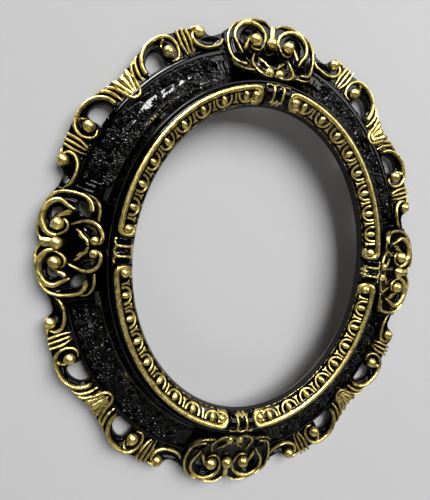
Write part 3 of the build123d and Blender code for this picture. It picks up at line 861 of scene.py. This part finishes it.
# %% Leaf clasps
leaf_edge = [(43.2, 0.71), (44.5, 0.66), (46.0, 0.62)]
leaf_tip = [(43.2, -0.02), (43.8, -0.08), (44.7, -0.13), (46.0, -0.15)]
leaf_spine = [
    (43.2, 0.4), (43.6, 0.15), (43.95, -0.02), (44.5, -0.09), (45.2, -0.125), (46.0, -0.135),
]
leaf_ridges = [
    ([(43.6, 0.7), (44.2, 0.45), (44.75, 0.18), (45.45, -0.05)], 3.6, 3.4, 0.4, 0.9),
    ([(46.0, 0.62), (46.05, 0.3), (46.0, -0.03)], 3.8, 3.9, 0.3, 0.9),
    ([(44.9, 0.6), (45.1, 0.3), (45.6, 0.04)], 0.4, -0.5, 0.1, 0.4),
    ([(43.5, 0.5), (44.2, 0.2), (44.9, 0.0)], 0.4, -0.5, 0.1, 0.4),
]


def leaf_clasp():
    """Leaf over the joint between the C-scrolls, drawn from both sides to its middle."""

    def whole(shares):
        near, away = quarter(shares, False), quarter(shares, True)[::-1]
        return np.vstack([near[:-1], (near[-1:] + away[:1]) / 2, away[1:]])

    edge, tip = spline(whole(leaf_edge), count=60), spline(whole(leaf_tip), count=60)
    outline = np.vstack([edge, tip[::-1]])
    ridges = [(spline(whole(leaf_spine), count=120), 1.5 * mm, 3.6 * mm, 0.05, 0.05)]
    for far in halves:
        ridges += lines_of(leaf_ridges, far)
    leaf_floor, leaf_gilt = 9.2 * mm, 0.75
    top = border_top(leaf_floor, ridges, leaf_gilt)
    return border_body(outline, ridges, top, np.linspace(41, 52, 40))


set_out("leaf_clasp", leaf_clasp(), "gold_over_black")

# %% [markdown]
# ## Cartouches
# On each axis sits an openwork cartouche. Its top slopes down from the arris to the outer edge,
# and its ridges follow two large volutes, two inner scrolls and a neck that ends in a drop.
# The table gives half of it, and the other half is its mirror image.

# %% One cartouche
cartouche_edge = [
    (0.0, 0.78), (1.0, 0.89), (2.5, 0.98), (4.2, 1.0), (7.0, 0.95), (10.0, 0.82), (12.0, 0.68),
    (14.2, 0.53),
]
cartouche_inner = [
    (14.2, -0.04), (14.4, -0.14), (14.5, -0.25), (14.1, -0.35), (13.0, -0.44), (11.4, -0.5),
    (9.5, -0.52), (7.6, -0.53), (5.8, -0.56), (4.0, -0.6), (2.2, -0.605), (1.0, -0.59),
    (0.0, -0.56),
]
volute_hole = [
    (6.0, 0.5), (7.2, 0.57), (8.3, 0.53), (9.1, 0.38), (9.1, 0.2), (8.4, 0.08), (7.7, 0.12),
    (7.7, 0.27), (7.1, 0.4),
]
# out share and share of the frame's depth, down the cartouche's middle
cartouche_top = [
    (1.2, 0.2), (0.5, 0.22), (0.0, 0.26), (-0.17, 0.33), (-0.31, 0.42), (-0.42, 0.55), (-0.56, 0.7),
    (-0.64, 0.77),
]
cartouche_ridges = [
    ([(2.2, 0.1), (1.9, 0.3), (2.5, 0.57), (4.2, 0.77), (6.3, 0.85), (8.8, 0.76), (10.5, 0.53),
      (11.0, 0.25), (10.4, 0.02), (9.5, -0.12)], 3.3, 3.7, 0.3, 0.5),
    ([(6.6, 0.02), (5.4, -0.07), (3.9, -0.07), (2.6, 0.03), (2.1, 0.2)], 1.3, 3.2, 0.3, 0.0),
    ([(6.4, 0.34), (7.4, 0.1), (8.6, -0.08)], 2.8, 4.1, 0.9, 0.0),
    ([(0.5, 0.74), (2.0, 0.92), (4.2, 0.965), (7.5, 0.91), (10.4, 0.78), (12.4, 0.52), (13.4, 0.22),
      (13.8, -0.06), (13.7, -0.2), (12.8, -0.31), (11.3, -0.36), (10.2, -0.37)], 1.7, 3.5, 0.15,
      0.0),
    ([(13.2, -0.27), (11.6, -0.345), (10.0, -0.365)], 2.9, 3.9, 0.9, 0.0),
    ([(14.1, -0.27), (13.9, -0.36), (12.9, -0.43), (11.3, -0.475), (9.5, -0.49), (7.8, -0.49)], 1.3,
      3.3, 0.4, 0.0),
    ([(5.4, -0.12), (6.0, -0.18), (6.7, -0.26), (7.1, -0.35), (6.8, -0.45), (5.7, -0.53),
      (4.0, -0.575), (2.3, -0.58), (1.1, -0.54)], 1.8, 3.5, 0.35, 0.1),
    ([(4.3, -0.2), (3.5, -0.26), (2.4, -0.31), (1.4, -0.37), (0.3, -0.38)], 1.7, 3.2, 0.3, 0.0),
    ([(2.9, -0.24), (2.4, -0.3), (2.0, -0.36)], 1.9, 3.4, 0.3, 0.3),
    ([(4.2, 0.45), (6.2, 0.62), (8.4, 0.5)], 4.4, -2.2, 0.3, 0.3),
    ([(12.0, 0.3), (12.3, 0.0), (11.8, -0.2)], 2.2, -1.6, 0.3, 0.3),
    ([(5.2, -0.3), (4.6, -0.42), (3.9, -0.48)], 3.4, -1.8, 0.3, 0.3),
]


def cartouche(far):
    """Whole cartouche at the top of the oval, or at its side."""
    turn = 90 if far else 0
    flip = np.array((-1, 1) if far else (1, -1))
    middle = np.array((0, 1) if far else (1, 0))

    def on_axis(line, end):
        """Put an end of a line exactly on the cartouche's own axis."""
        line[end] = line[end] * middle
        return line

    edge = on_axis(spline(quarter(cartouche_edge, far), count=140), 0)
    inner = on_axis(spline(quarter(cartouche_inner, far), count=160), -1)
    half = np.vstack([edge, inner])
    outline = np.vstack([half, (half * flip)[-2:0:-1]])
    hole = spline(quarter(volute_hole, far), closed=True, count=60)
    holes = [hole, hole * flip, leaf_holes[far], leaf_holes[far] * flip]
    slim = 0.68 if far else 0.95
    drawn = lines_of(cartouche_ridges, far, 120)
    ridges = [(line, width * slim, *rest) for line, width, *rest in drawn]
    ridges += [(line * flip, *rest) for line, *rest in ridges]
    neck = place(turn, np.linspace(float(out_of(0.05, turn)), float(out_of(0.8, turn)), 30))
    ridges.append((neck, 4.6 * slim * mm, 3.7 * mm, 0.0, 0.0))
    axis_edge = sight_half_height if far else sight_half_width
    fall = [(float(out_of(share, turn)), frame_depth * height) for share, height in cartouche_top]
    fall = spline(fall, count=200)[::-1]

    def top(points):
        along = np.abs(points[:, 1] if far else points[:, 0]) - axis_edge
        floor = np.interp(along, fall[:, 0], fall[:, 1])
        floor = np.maximum(floor, cove_height(out_at(points)) + 0.5 * mm)
        return ridge_relief(points, floor, ridges)

    shapes = [border_body(outline, ridges, top, np.linspace(turn - 17, turn + 17, 90), holes)]
    for sign in (1, -1):
        shapes.append(stud(place(turn + sign * 5.0, out_of(0.18, turn)), 13.2, 5.5))
        shapes.append(stud(place(turn + sign * 1.9, out_of(-0.485, 0)), 27.0, 3.9))
    shapes.append(stud(place(turn, out_of(0.15, turn)), 12.6, 5.4))
    return joined(shapes)


for far, ends in axis_ends.items():
    set_out("cartouche", cartouche(far), "gold_over_black", ends)

# %% [markdown]
# ## Repeats
# Flowers, leaves and eggs repeat. One Geometry Nodes tree sets them out: it takes points that
# know which way they face and which way is outwards on the frame, and stands a shape on each.
# It varies the flowers' and leaves' turn and size by a fixed seed, so that no repeat shows.

# %% A tree that stands a shape on each point
repeat_tree, wire = tree_of(
    "Stand a shape on each point",
    [
        ("Shape", "Object"), ("Seed", "Int"), ("Turn Spread", "Float"), ("Size Spread", "Float"),
        ("Finish", "Material"),
    ],
)
given = inputs_of(wire)


def kept_on_points(name):
    """A direction that the tree's points carry."""
    settings = {"data_type": "FLOAT_VECTOR"}
    return wire.node("GeometryNodeInputNamedAttribute", settings, {"Name": name})


def drawn_between(low, high, seed):
    """A random number for each point."""
    values = {2: low, 3: high, "Seed": seed}
    return wire.node("FunctionNodeRandomValue", {"data_type": "FLOAT"}, values, output=1)


align = "FunctionNodeAlignRotationToVector"
stand = wire.node(align, {"axis": "Z"}, {"Vector": kept_on_points("facing")})
values = {"Rotation": stand, "Vector": kept_on_points("outwards")}
stand = wire.node(align, {"axis": "X", "pivot_axis": "Z"}, values)
spin = drawn_between(given["Turn Spread"] * -1.0, given["Turn Spread"], given["Seed"])
values = {"Axis": (0.0, 0.0, 1.0), "Angle": spin}
spin = wire.node("FunctionNodeAxisAngleToRotation", {}, values)
values = {"Rotation": stand, "Rotate By": spin}
stand = wire.node("FunctionNodeRotateRotation", {"rotation_space": "LOCAL"}, values)
spread = given["Size Spread"]
size = drawn_between(1.0 - spread, 1.0 + spread, given["Seed"] + 1.0)
shape = wire.node("GeometryNodeObjectInfo", {}, {"Object": given["Shape"]}, output="Geometry")
values = {"Points": given["Geometry"], "Instance": shape, "Rotation": stand, "Scale": size}
copies = wire.node("GeometryNodeInstanceOnPoints", {}, values)
ends_in_material(wire, copies, given["Finish"])


def repeats(shape, stands, slot, seed=1, turn_spread=0.0, size_spread=0.0):
    """Points, faces and gilt of a shape stood on each of a list of stands."""
    shape_object = in_scene("repeat_shape", mesh_of("repeat_shape", shape, slot))
    places, facings, outs = zip(*stands)
    start = bpy.data.meshes.new("repeat_places")
    start.from_pydata(places, [], [])
    for name, rows in (("facing", facings), ("outwards", outs)):
        values = np.asarray(rows, float).ravel()
        start.attributes.new(name, "FLOAT_VECTOR", "POINT").data.foreach_set("vector", values)
    values = {
        "Shape": shape_object, "Seed": seed, "Turn Spread": turn_spread,
        "Size Spread": size_spread, "Finish": finishes[slot],
    }
    mesh = baked(start, repeat_tree, values)
    bpy.data.objects.remove(shape_object)
    points, gilt = points_of(mesh), np.empty(len(mesh.vertices))
    mesh.attributes["gilt"].data.foreach_get("value", gilt)
    faces = [list(polygon.vertices) for polygon in mesh.polygons]
    bpy.data.meshes.remove(mesh)
    return points, faces, gilt


def stand_at(turn, out, height, rise):
    """Place, facing and outward direction on a face of the frame that rises outwards at a rate."""
    x, z = place(turn, out)
    across, up = outward(turn)
    facing = Vector((-across * rise, -1, -up * rise)).normalized()
    along = Vector((across, -rise, up)).normalized()
    return (x, -height, z), tuple(facing), tuple(along)


# %% [markdown]
# ## Flower relief
# The cove carries a low relief of flowers and leaves, all black and very glossy, so it shows only
# as glints. Roses and daisies take turns in two staggered rows along the cove, and veined leaves
# stand in three rows between and under them. A few ribs close the end beside the cartouche.

# %% Flowers, leaves and their panels
def dish(outline_radius, height_at, around, steps, sink=0.6 * mm):
    """Closed mound on its own base: radius by angle, height by share and angle."""
    angles = np.linspace(0, 2 * pi, around, endpoint=False)
    shares = np.linspace(0, 1, steps + 1)[1:]
    points = [(0.0, 0.0, float(height_at(0.0, 0.0)))]
    for share in shares:
        for angle in angles:
            radius, height = outline_radius(angle) * mm * share, float(height_at(share, angle))
            points.append((radius * cos(angle), radius * sin(angle), height))
    base = len(points)
    points += [(*points[base - around + i][:2], -sink) for i in range(around)]
    faces = [[0, 1 + i, 1 + (i + 1) % around] for i in range(around)]
    for a in range(1, 1 + steps * around, around):
        faces += ring_quads(a, a + around, around)
    faces.append([base + i for i in range(around)][::-1])
    points = np.array(points)
    return points, faces, np.zeros(len(points))


def petals(share, angle, low, high, count, phase):
    """Rolled petals in a ring of a flower, from one share of its radius to another."""
    if not low < share <= high:
        return 0.0
    rolled = sin(pi * (share - low) / (high - low)) ** 0.6
    return abs(cos(count / 2 * angle + phase)) ** 0.6 * rolled


def rose_height(share, angle):
    inner, outer = petals(share, angle, 0.2, 0.6, 5, 0.0), petals(share, angle, 0.56, 1.0, 6, 1.2)
    bud = (1 - (share / 0.2) ** 2) * (share < 0.2)
    return mm * (1.7 * inner + 1.5 * outer + 1.4 * bud + 0.4 * (1 - share))


def daisy_height(share, angle):
    rays = abs(cos(5 * angle)) * min(1, share * 2.5) * (1 - share**4)
    return mm * (2.1 * rays + 1.3 * (share < 0.16) + 0.2)


leaf_long, leaf_wide = 7.4, 3.4


def leaf_radius(angle):
    return (abs(cos(angle) / leaf_long) ** 1.5 + abs(sin(angle) / leaf_wide) ** 1.5) ** (-1 / 1.5)


def leaf_height(share, angle):
    radius = share * leaf_radius(angle)
    length, width = radius * cos(angle), abs(radius * sin(angle))
    veins = 0.5 * cos(2 * pi * (length - 0.9 * width) / 2.9)
    return mm * ((1.0 + veins) * (1 - share**2) + 0.6 * max(0, 1 - width / 0.7) * (1 - share))


def rose_radius(angle):
    return 5.6 + 0.9 * abs(cos(3 * angle + 1.2))


def daisy_radius(angle):
    return 4.6 + 2.0 * abs(cos(5 * angle)) ** 0.7


# each shape with the seed and spread of its turns
flower_kinds = {
    "rose": (dish(rose_radius, rose_height, 120, 14), 3, 0.6),
    "daisy": (dish(daisy_radius, daisy_height, 120, 9), 5, 0.6),
    "leaf": (dish(leaf_radius, leaf_height, 72, 10), 8, 1.6),
}
size_spread = 0.12
panel_start, panel_end = 14.9, 45.8
panel_low, panel_high = ring_width * 0.445, ring_width * 0.985
panel_thickness = 1.0 * mm
first_flower, last_flower = 19.2, 41.4
flower_rows, leaf_rows = (34.4, 48.4), (30.6, 41.4, 53.6)
rib_half_width, rib_rise = 0.28, 1.0 * mm
ribs = ((15.35, 34, 58), (17.0, 35, 51), (18.2, 37, 48))


def on_cove(turn, out, lift):
    """Stand on the cove, at a distance out in millimetres and a share of the panel's thickness."""
    out = out * mm
    rise = (cove_height(out + 0.5 * mm) - cove_height(out - 0.5 * mm)) / mm
    return stand_at(turn, out, cove_height(out) + panel_thickness * lift, rise)


def strip(turns, outs, top_at, bottom_at):
    """Closed strip of the ring between turns and distances out, from heights above and below."""
    rows = []
    for level in (top_at, bottom_at):
        for turn in turns:
            rows += [(x, -h, z) for (x, z), h in zip(place(turn, outs), level(turn, outs))]
    n, m = len(turns), len(outs)
    faces = []
    for i in range(n - 1):
        for j in range(m - 1):
            a = i * m + j
            faces.append([a, a + 1, a + m + 1, a + m])
            b = a + n * m
            faces.append([b, b + m, b + m + 1, b + 1])
    edge = [j for j in range(m)] + [i * m + m - 1 for i in range(1, n)]
    edge += [(n - 1) * m + j for j in range(m - 2, -1, -1)] + [i * m for i in range(n - 2, 0, -1)]
    for a, b in zip(edge, edge[1:] + edge[:1]):
        faces.append([a, a + n * m, b + n * m, b])
    return np.array(rows), faces, np.zeros(len(rows))


def relief_panel(far):
    """Sheet on the cove with its flowers and leaves."""
    near_turns = [np.linspace(panel_start, 19.5, 60), np.linspace(19.6, panel_end, 70)]
    near_turns = np.concatenate(near_turns)
    if far:
        near_turns = near_turns[::-1]
    turns = from_start(near_turns, far)
    near_of = dict(zip(turns.tolist(), near_turns.tolist()))

    def bottom(turn, outs):
        return cove_height(outs) + glue_line

    def top(turn, outs):
        edge = np.clip(np.minimum(outs - panel_low, panel_high - outs) / (1.5 * mm), 0, 1)
        height = bottom(turn, outs) + panel_thickness * (0.3 + 0.7 * np.sqrt(edge))
        height = height + 1.2 * mm * hump(outs - 56.2 * mm, 3.6 * mm)
        for rib_turn, low, high in ribs:
            bent = rib_turn + 0.3 * ((outs / mm - 45) / 12) ** 2
            ends = np.clip(np.minimum(outs / mm - low, high - outs / mm) / 3, 0, 1)
            height = height + rib_rise * ends * hump(near_of[float(turn)] - bent, rib_half_width)
        return height

    def along(share):
        return from_start(first_flower + (last_flower - first_flower) * share, far)

    at = {kind: [] for kind in flower_kinds}
    for row, out in enumerate(flower_rows):
        for i in range(6):
            kind = ("rose", "daisy")[(i + row) % 2]
            at[kind].append(on_cove(along((i + 0.25 + 0.5 * row) / 6), out, 0.8))
    for row, out in enumerate(leaf_rows):
        at["leaf"] += [on_cove(along((i + 0.5 * (row % 2)) / 6.6), out, 0.75) for i in range(7)]
    at["daisy"].append(on_cove(along(1.08), 38.0, 0.8))
    at["leaf"].append(on_cove(along(1.1), 48.0, 0.7))
    shapes = [strip(turns, np.linspace(panel_low, panel_high, 40), top, bottom)]
    for kind, (shape, seed, turn_spread) in flower_kinds.items():
        shapes.append(repeats(shape, at[kind], "black_lacquer", seed, turn_spread, size_spread))
    return joined(shapes)


for far, side in halves.items():
    set_out(f"relief_panel_{side}", relief_panel(far), "black_lacquer")

# %% [markdown]
# ## Sight moulding
# The moulding beside the picture has a gold crest that curls round a bead at each end, and below
# it eggs in cups with darts between them. The strip and its crest are carved; one egg with its
# cup and dart is modelled once and set out eight times by the repeat tree.

# %% An egg with its cup and dart
def rod(line, heights, widths, around=8):
    """Closed tapering rod through plan points at given heights."""
    line = np.array(line, float)
    path = spline(line * mm, count=18)
    share = np.linspace(0, 1, len(path))
    known = np.linspace(0, 1, len(line))
    height = np.interp(share, known, heights) * mm
    width = np.interp(share, known, widths) * mm
    along = np.gradient(path, axis=0)
    along /= np.linalg.norm(along, axis=1)[:, None]
    turns = np.linspace(0, 2 * pi, around, endpoint=False)
    points, faces = [], []
    for (x, y), (a, b), h, w in zip(path, along, height, width):
        points += [(x - b * w * cos(t), y + a * w * cos(t), h + w * sin(t)) for t in turns]
    for k in range(0, (len(path) - 1) * around, around):
        for j in range(around):
            after = (j + 1) % around
            faces.append([k + j, k + after, k + around + after, k + around + j])
    faces += [list(range(around))[::-1], [len(points) - around + j for j in range(around)]]
    points = np.array(points)
    proud = (points[:, 2] - np.repeat(height, around)) / np.repeat(width, around)
    return points, faces, np.clip(0.55 + proud * 0.45, 0, 1)


moulding_rise = frame_depth - crest_shoulder - lip_face_height
slope = moulding_rise / (moulding_width - crest_shoulder - crest_width)
egg_radii = (4.3 * mm, 2.8 * mm, 2.9 * mm)


def egg_unit():
    """Local x is outwards, y along the moulding and z to the front, from the egg's own place."""
    points, faces, gilt = ball((0, 0, 0), egg_radii, 26, 16)
    points = np.stack([points[:, 0], points[:, 2], -points[:, 1]], 1)
    pointed = np.clip(-points[:, 0] / egg_radii[0], 0, 1)
    points[:, 1] *= 1 - 0.4 * pointed**2
    shapes = [(points, faces, gilt)]
    for sign in (1, -1):
        cup = [(3.6, 6.9), (0.6, 6.7), (-2.3, 5.3), (-4.0, 2.8), (-4.6, 0)]
        cup = [(out, along * sign) for out, along in cup]
        shapes.append(rod(cup, (0.7, 0.7, 0.5, 0.3, 0.2), (1.15, 1.1, 1.05, 1.0, 0.95)))
        foot = [(-1.4, -9.65), (-3.4, -9.65 + 0.8 * sign), (-4.7, -9.65 + 2.1 * sign)]
        shapes.append(rod(foot, (0.3, 0.2, 0.1), (0.8, 0.75, 0.6)))
    stem = [(3.6, -9.65), (1.0, -9.65), (-1.6, -9.65), (-4.4, -9.65)]
    shapes.append(rod(stem, (0.6, 0.5, 0.3, 0.1), (0.85, 0.9, 1.0, 0.8)))
    points, faces, gilt = joined(shapes)
    mesh = bpy.data.meshes.new("egg")
    mesh.from_pydata(points.tolist(), [], faces)
    return points, faced_outwards(mesh), gilt


# %% The moulding of one quarter
joint_gap = 10.5 * mm
side_tie_turn = float(np.degrees(joint_gap / sight_half_height))
top_tie_turn = 90 - float(np.degrees(joint_gap / sight_half_width))
first_egg, egg_pitch, egg_count = 15.4, 19.3, 8
egg_out, egg_sink = 6.3 * mm, 0.2 * mm
fine_turns = np.linspace(side_tie_turn, top_tie_turn, 2001)
fine_edge = place(fine_turns, 0.0)
fine_length = np.concatenate([[0], np.cumsum(np.linalg.norm(np.diff(fine_edge, axis=0), axis=1))])
quarter_length = fine_length[-1]


def turn_at(length):
    """Turn at a length along the sight edge from the side tie."""
    return np.interp(length, fine_length, fine_turns)


def on_seat(points):
    """Height of the back of a piece that lies on the ring's seat."""
    return np.full(len(points), seat_height)


def along_moulding(rows):
    """Plan points of (length, out) rows in millimetres. Lengths below 0 count from the top tie."""
    rows = np.array(rows, float) * mm
    length = np.where(rows[:, 0] < 0, quarter_length + rows[:, 0], rows[:, 0])
    return place(turn_at(length), rows[:, 1])


def moulding():
    """Strip with its crest, its eggs and the bead that the crest curls round at each end."""
    low = place(np.linspace(side_tie_turn, top_tie_turn, 300), 0.0)
    high = place(np.linspace(top_tie_turn, side_tie_turn, 300), moulding_width)
    outline = np.vstack([low, high])
    curl = [(10.6, 1.6), (6.8, 1.3), (3.6, 2.5), (2.1, 5.6), (2.5, 8.9), (5.0, 11.7), (9.6, 12.5)]
    middle = [(length, 12.4) for length in np.linspace(16, quarter_length / mm - 16, 24)]
    crest = curl + middle + [(-length, out) for length, out in curl[::-1]]
    crest_line = spline(along_moulding(crest), count=900)
    bottom_bead = [(length, 0.7) for length in np.linspace(11, quarter_length / mm - 11, 30)]
    bottom_bead = spline(along_moulding(bottom_bead), count=400)
    guides = [(crest_line, 2.2 * mm), (bottom_bead, 0.6 * mm)]

    def top(points):
        out = out_at(points)
        floor = lip_face_height - 0.9 * mm + slope * np.minimum(out, 11 * mm)
        floor = floor - 1.2 * mm * hump(out - 9.6 * mm, 1.6 * mm)
        floor = np.where(out > 14.2 * mm, 39.0 * mm, floor)
        gap, share = gap_to(points, crest_line)
        at_end = np.clip(np.minimum(share, 1 - share) * 18, 0, 1)
        width = (1.5 + 0.8 * at_end) * mm
        crest_heights = (36.8 * mm, 38.8 * mm, frame_depth, frame_depth)
        crest_top = np.interp(out, (0, 3 * mm, 12 * mm, 20 * mm), crest_heights)
        round_top = hump(gap, width) ** 0.55
        height = np.maximum(floor, floor + (crest_top - floor) * round_top)
        bead_gap, _ = gap_to(points, bottom_bead)
        bead = hump(bead_gap, 0.7 * mm) ** 0.6
        height = np.maximum(height, floor + 0.9 * mm * bead)
        gilt = np.maximum(round_top, bead * 0.42)
        return height, gilt

    shapes = [carve(outline, [], guides, top, on_seat, 0.75 * mm, 0.6 * mm)]
    egg_height = lip_face_height + slope * egg_out - egg_sink
    stands = []
    for number in range(egg_count):
        turn = turn_at(quarter_length - (first_egg + egg_pitch * number) * mm)
        stands.append(stand_at(turn, egg_out, egg_height, slope))
    shapes.append(repeats(egg_unit(), stands, "antique_gold"))
    for x, z in along_moulding([(7.0, 6.1), (-7.0, 6.1)]):
        shapes.append(ball((x, z, 37.8 * mm), (4.1 * mm, 4.1 * mm, 4.6 * mm)))
    return joined(shapes)


set_out("sight_moulding", moulding(), "antique_gold")

# %% [markdown]
# ## Ties
# A tie covers each joint of the moulding. It has black flutes between two gold bars, and a gold
# scalloped line at its outer edge and at the picture's edge. It is carved like the border.

# %% One tie
# distance out and height over the tie's middle, in millimetres
tie_section = [(0, 34.6), (4.05, 41.8), (10.8, 43.6), (16.2, 39.6)]
tie_half_width, tie_width, tie_edge_radius = 10.3, 16.2, 1.2 * mm


def tie(turn, speed):
    """Tie centred on a turn, where the oval runs a speed in metres for each radian."""
    section = spline(tie_section, count=80) * mm

    def at(rows):
        rows = np.array(rows, float) * mm
        return place(turn + np.degrees(rows[:, 0] / speed), rows[:, 1])

    side = np.linspace(-tie_half_width, tie_half_width, 40)
    outline = [at([(s, 0.0) for s in side]), at([(s, tie_width) for s in side[::-1]])]
    ridges = []
    for sign in (1, -1):
        bar = [(3.6 * sign, 14.4), (3.9 * sign, 10), (3.9 * sign, 5), (4.3 * sign, 1.8)]
        ridges.append((spline(at(bar), count=60), 1.1 * mm, 2.2 * mm, 0.1, 0.1))
    wave = [(s, 14.6 + 0.9 * cos(s * 0.86)) for s in np.linspace(-9.6, 9.6, 31)]
    ridges.append((spline(at(wave), count=120), 1.0 * mm, 1.9 * mm, 0.05, 0.05))
    sill = [(s, 1.3 + 0.5 * cos(s * 1.5)) for s in np.linspace(-5.6, 5.6, 25)]
    ridges.append((spline(at(sill), count=80), 0.9 * mm, 1.7 * mm, 0.05, 0.05))

    def top(points):
        out = out_at(points)
        along = np.hypot(*(points - place(turn, 0.0)).T)
        across = np.sqrt(np.maximum(along**2 - (out * 0.98) ** 2, 0)) / mm
        flute = 0.8 * mm * np.cos(across * 1.9) * (across < 3.2)
        floor = np.interp(out, section[:, 0], section[:, 1]) + flute - 0.3 * mm
        return ridge_relief(points, floor, ridges)

    outline, guides = np.vstack(outline), guides_of(ridges)
    return carve(outline, [], guides, top, on_seat, edge_radius=tie_edge_radius)


for far, ends in axis_ends.items():
    shape = tie(90, sight_half_width) if far else tie(0, sight_half_height)
    set_out("tie", shape, "antique_gold", ends)

# %% [markdown]
# ## Rear fittings
# The turn buttons, straps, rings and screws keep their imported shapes. Their plating is a metal
# with faint brushing, so they need only the right material.

# %% Plating
fitting_kinds = ("turn_button", "hanger", "d_ring")
fitting_names = [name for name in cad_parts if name.startswith(fitting_kinds)]
for name in fitting_names:
    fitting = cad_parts[name]
    fitting.data.materials.clear()
    fitting.data.materials.append(finishes["plated_steel"])
print("plated", fitting_names)

# %% [markdown]
# ## Wall, floor, light and camera
# The frame hangs on a pale wall. A soft lamp at the upper right throws the soft shadow inside the
# opening. A ceiling lamp at the upper left is there for its mirror image alone, the glints on the
# upper cove, so it puts no light on paint. A lamp behind shows the frame's back to a camera there,
# for which the wall is clear from behind and casts no shadow.

# %% Wall and floor
def stage_material(name, colour, see_through_back):
    """Matt paint, a little uneven."""
    material, wire = new_material(name)
    patches = noise(wire, 3.0, 4.0)
    paint = patches.blend(tuple(c * 0.96 for c in colour) + (1,), colour + (1,))
    shader = wire.node("ShaderNodeBsdfDiffuse", {}, {"Color": paint})
    if see_through_back:
        clear = wire.node("ShaderNodeBsdfTransparent", {}, {})
        back = wire.node("ShaderNodeNewGeometry", {}, {}, output="Backfacing")
        shader = wire.node("ShaderNodeMixShader", {}, {0: back, 1: shader, 2: clear})
    wire.node("ShaderNodeOutputMaterial", {"target": "ALL"}, {"Surface": shader})
    return material


def stage_sheet(name, corners, material):
    """Flat sheet of the stage, which is no part of the frame."""
    mesh = bpy.data.meshes.new(name)
    mesh.from_pydata(corners, [], [(0, 1, 2, 3)])
    mesh.materials.append(material)
    sheet = in_scene(name, mesh)
    return sheet


wall_at, floor_at, reach = 0.0015, -2.6, 4
wall_paint = stage_material("wall_paint", (0.72, 0.72, 0.73), True)
floor_paint = stage_material("floor_paint", (0.62, 0.61, 0.60), False)
sides = ((-1, 0), (1, 0), (1, 1), (-1, 1))
wall_corners = [(reach * x, wall_at, reach if z else floor_at) for x, z in sides]
floor_corners = [(reach * x, reach if y else -reach, floor_at) for x, y in sides]
wall = stage_sheet("wall", wall_corners, wall_paint)
wall.visible_shadow = False
stage_sheet("floor", floor_corners, floor_paint)

# %% World and lamps
world = bpy.data.worlds.new("room")
bpy.context.scene.world = world
world.use_nodes = True
world.node_tree.nodes.clear()
wire = Wire(world.node_tree)
seen = wire.node("ShaderNodeLightPath", {}, {}, output="Is Camera Ray")
room_light, room_seen = (0.01, 0.01, 0.01, 1), (0.80, 0.80, 0.81, 1)
colour = seen.blend(room_light, room_seen)
sky = wire.node("ShaderNodeBackground", {}, {"Color": colour, "Strength": 1.0})
wire.node("ShaderNodeOutputWorld", {"target": "ALL"}, {"Surface": sky})
# each lamp's place, what it is aimed at, its width and height in metres, and its watts
lamps = {
    "key": ((1.67, -3.34, 2.25), (0, 0, 0), (3.5, 3.2), 222),
    "ceiling": ((-0.62, -0.66, 1.15), (-0.1, 0, 0.05), (0.46, 0.6), 46),
    "fill": ((-1.9, -1.7, -1.3), (0, 0, 0), (0.5, 0.5), 2),
    "back": ((-0.9, 2.4, 1.5), (0, 0, 0), (1.6, 1.2), 60),
}
for name, (place_at, look_at, size, power) in lamps.items():
    data = bpy.data.lights.new(name, "AREA")
    data.shape, data.size, data.size_y = "RECTANGLE", *size
    data.energy = power
    light = in_scene(name, data)
    light.location = place_at
    aim = Vector(look_at) - Vector(place_at)
    light.rotation_euler = aim.to_track_quat("-Z", "Y").to_euler()
    light.visible_diffuse = name != "ceiling"

# %% Camera
# solved from the frame's own symmetry: focal length in pixels of a photo 500 pixels high
focal_pixels, photo_height, sensor = 346.1, 500, 36.0
camera_place = (-0.1144, -0.3290, 0.0223)
camera_data = bpy.data.cameras.new("camera")
camera_data.sensor_width, camera_data.lens = sensor, focal_pixels / photo_height * sensor
camera = in_scene("camera", camera_data)
right = Vector((0.9656, -0.2386, 0.1030)).normalized()
ahead = Vector((0.2446, 0.9684, -0.0493)).normalized()
up = right.cross(ahead).normalized()
right = ahead.cross(up)
facing = Matrix((right, up, -ahead)).transposed().to_4x4()
camera.matrix_world = Matrix.Translation(camera_place) @ facing
bpy.context.scene.camera = camera
bpy.context.scene.view_settings.view_transform = "Standard"
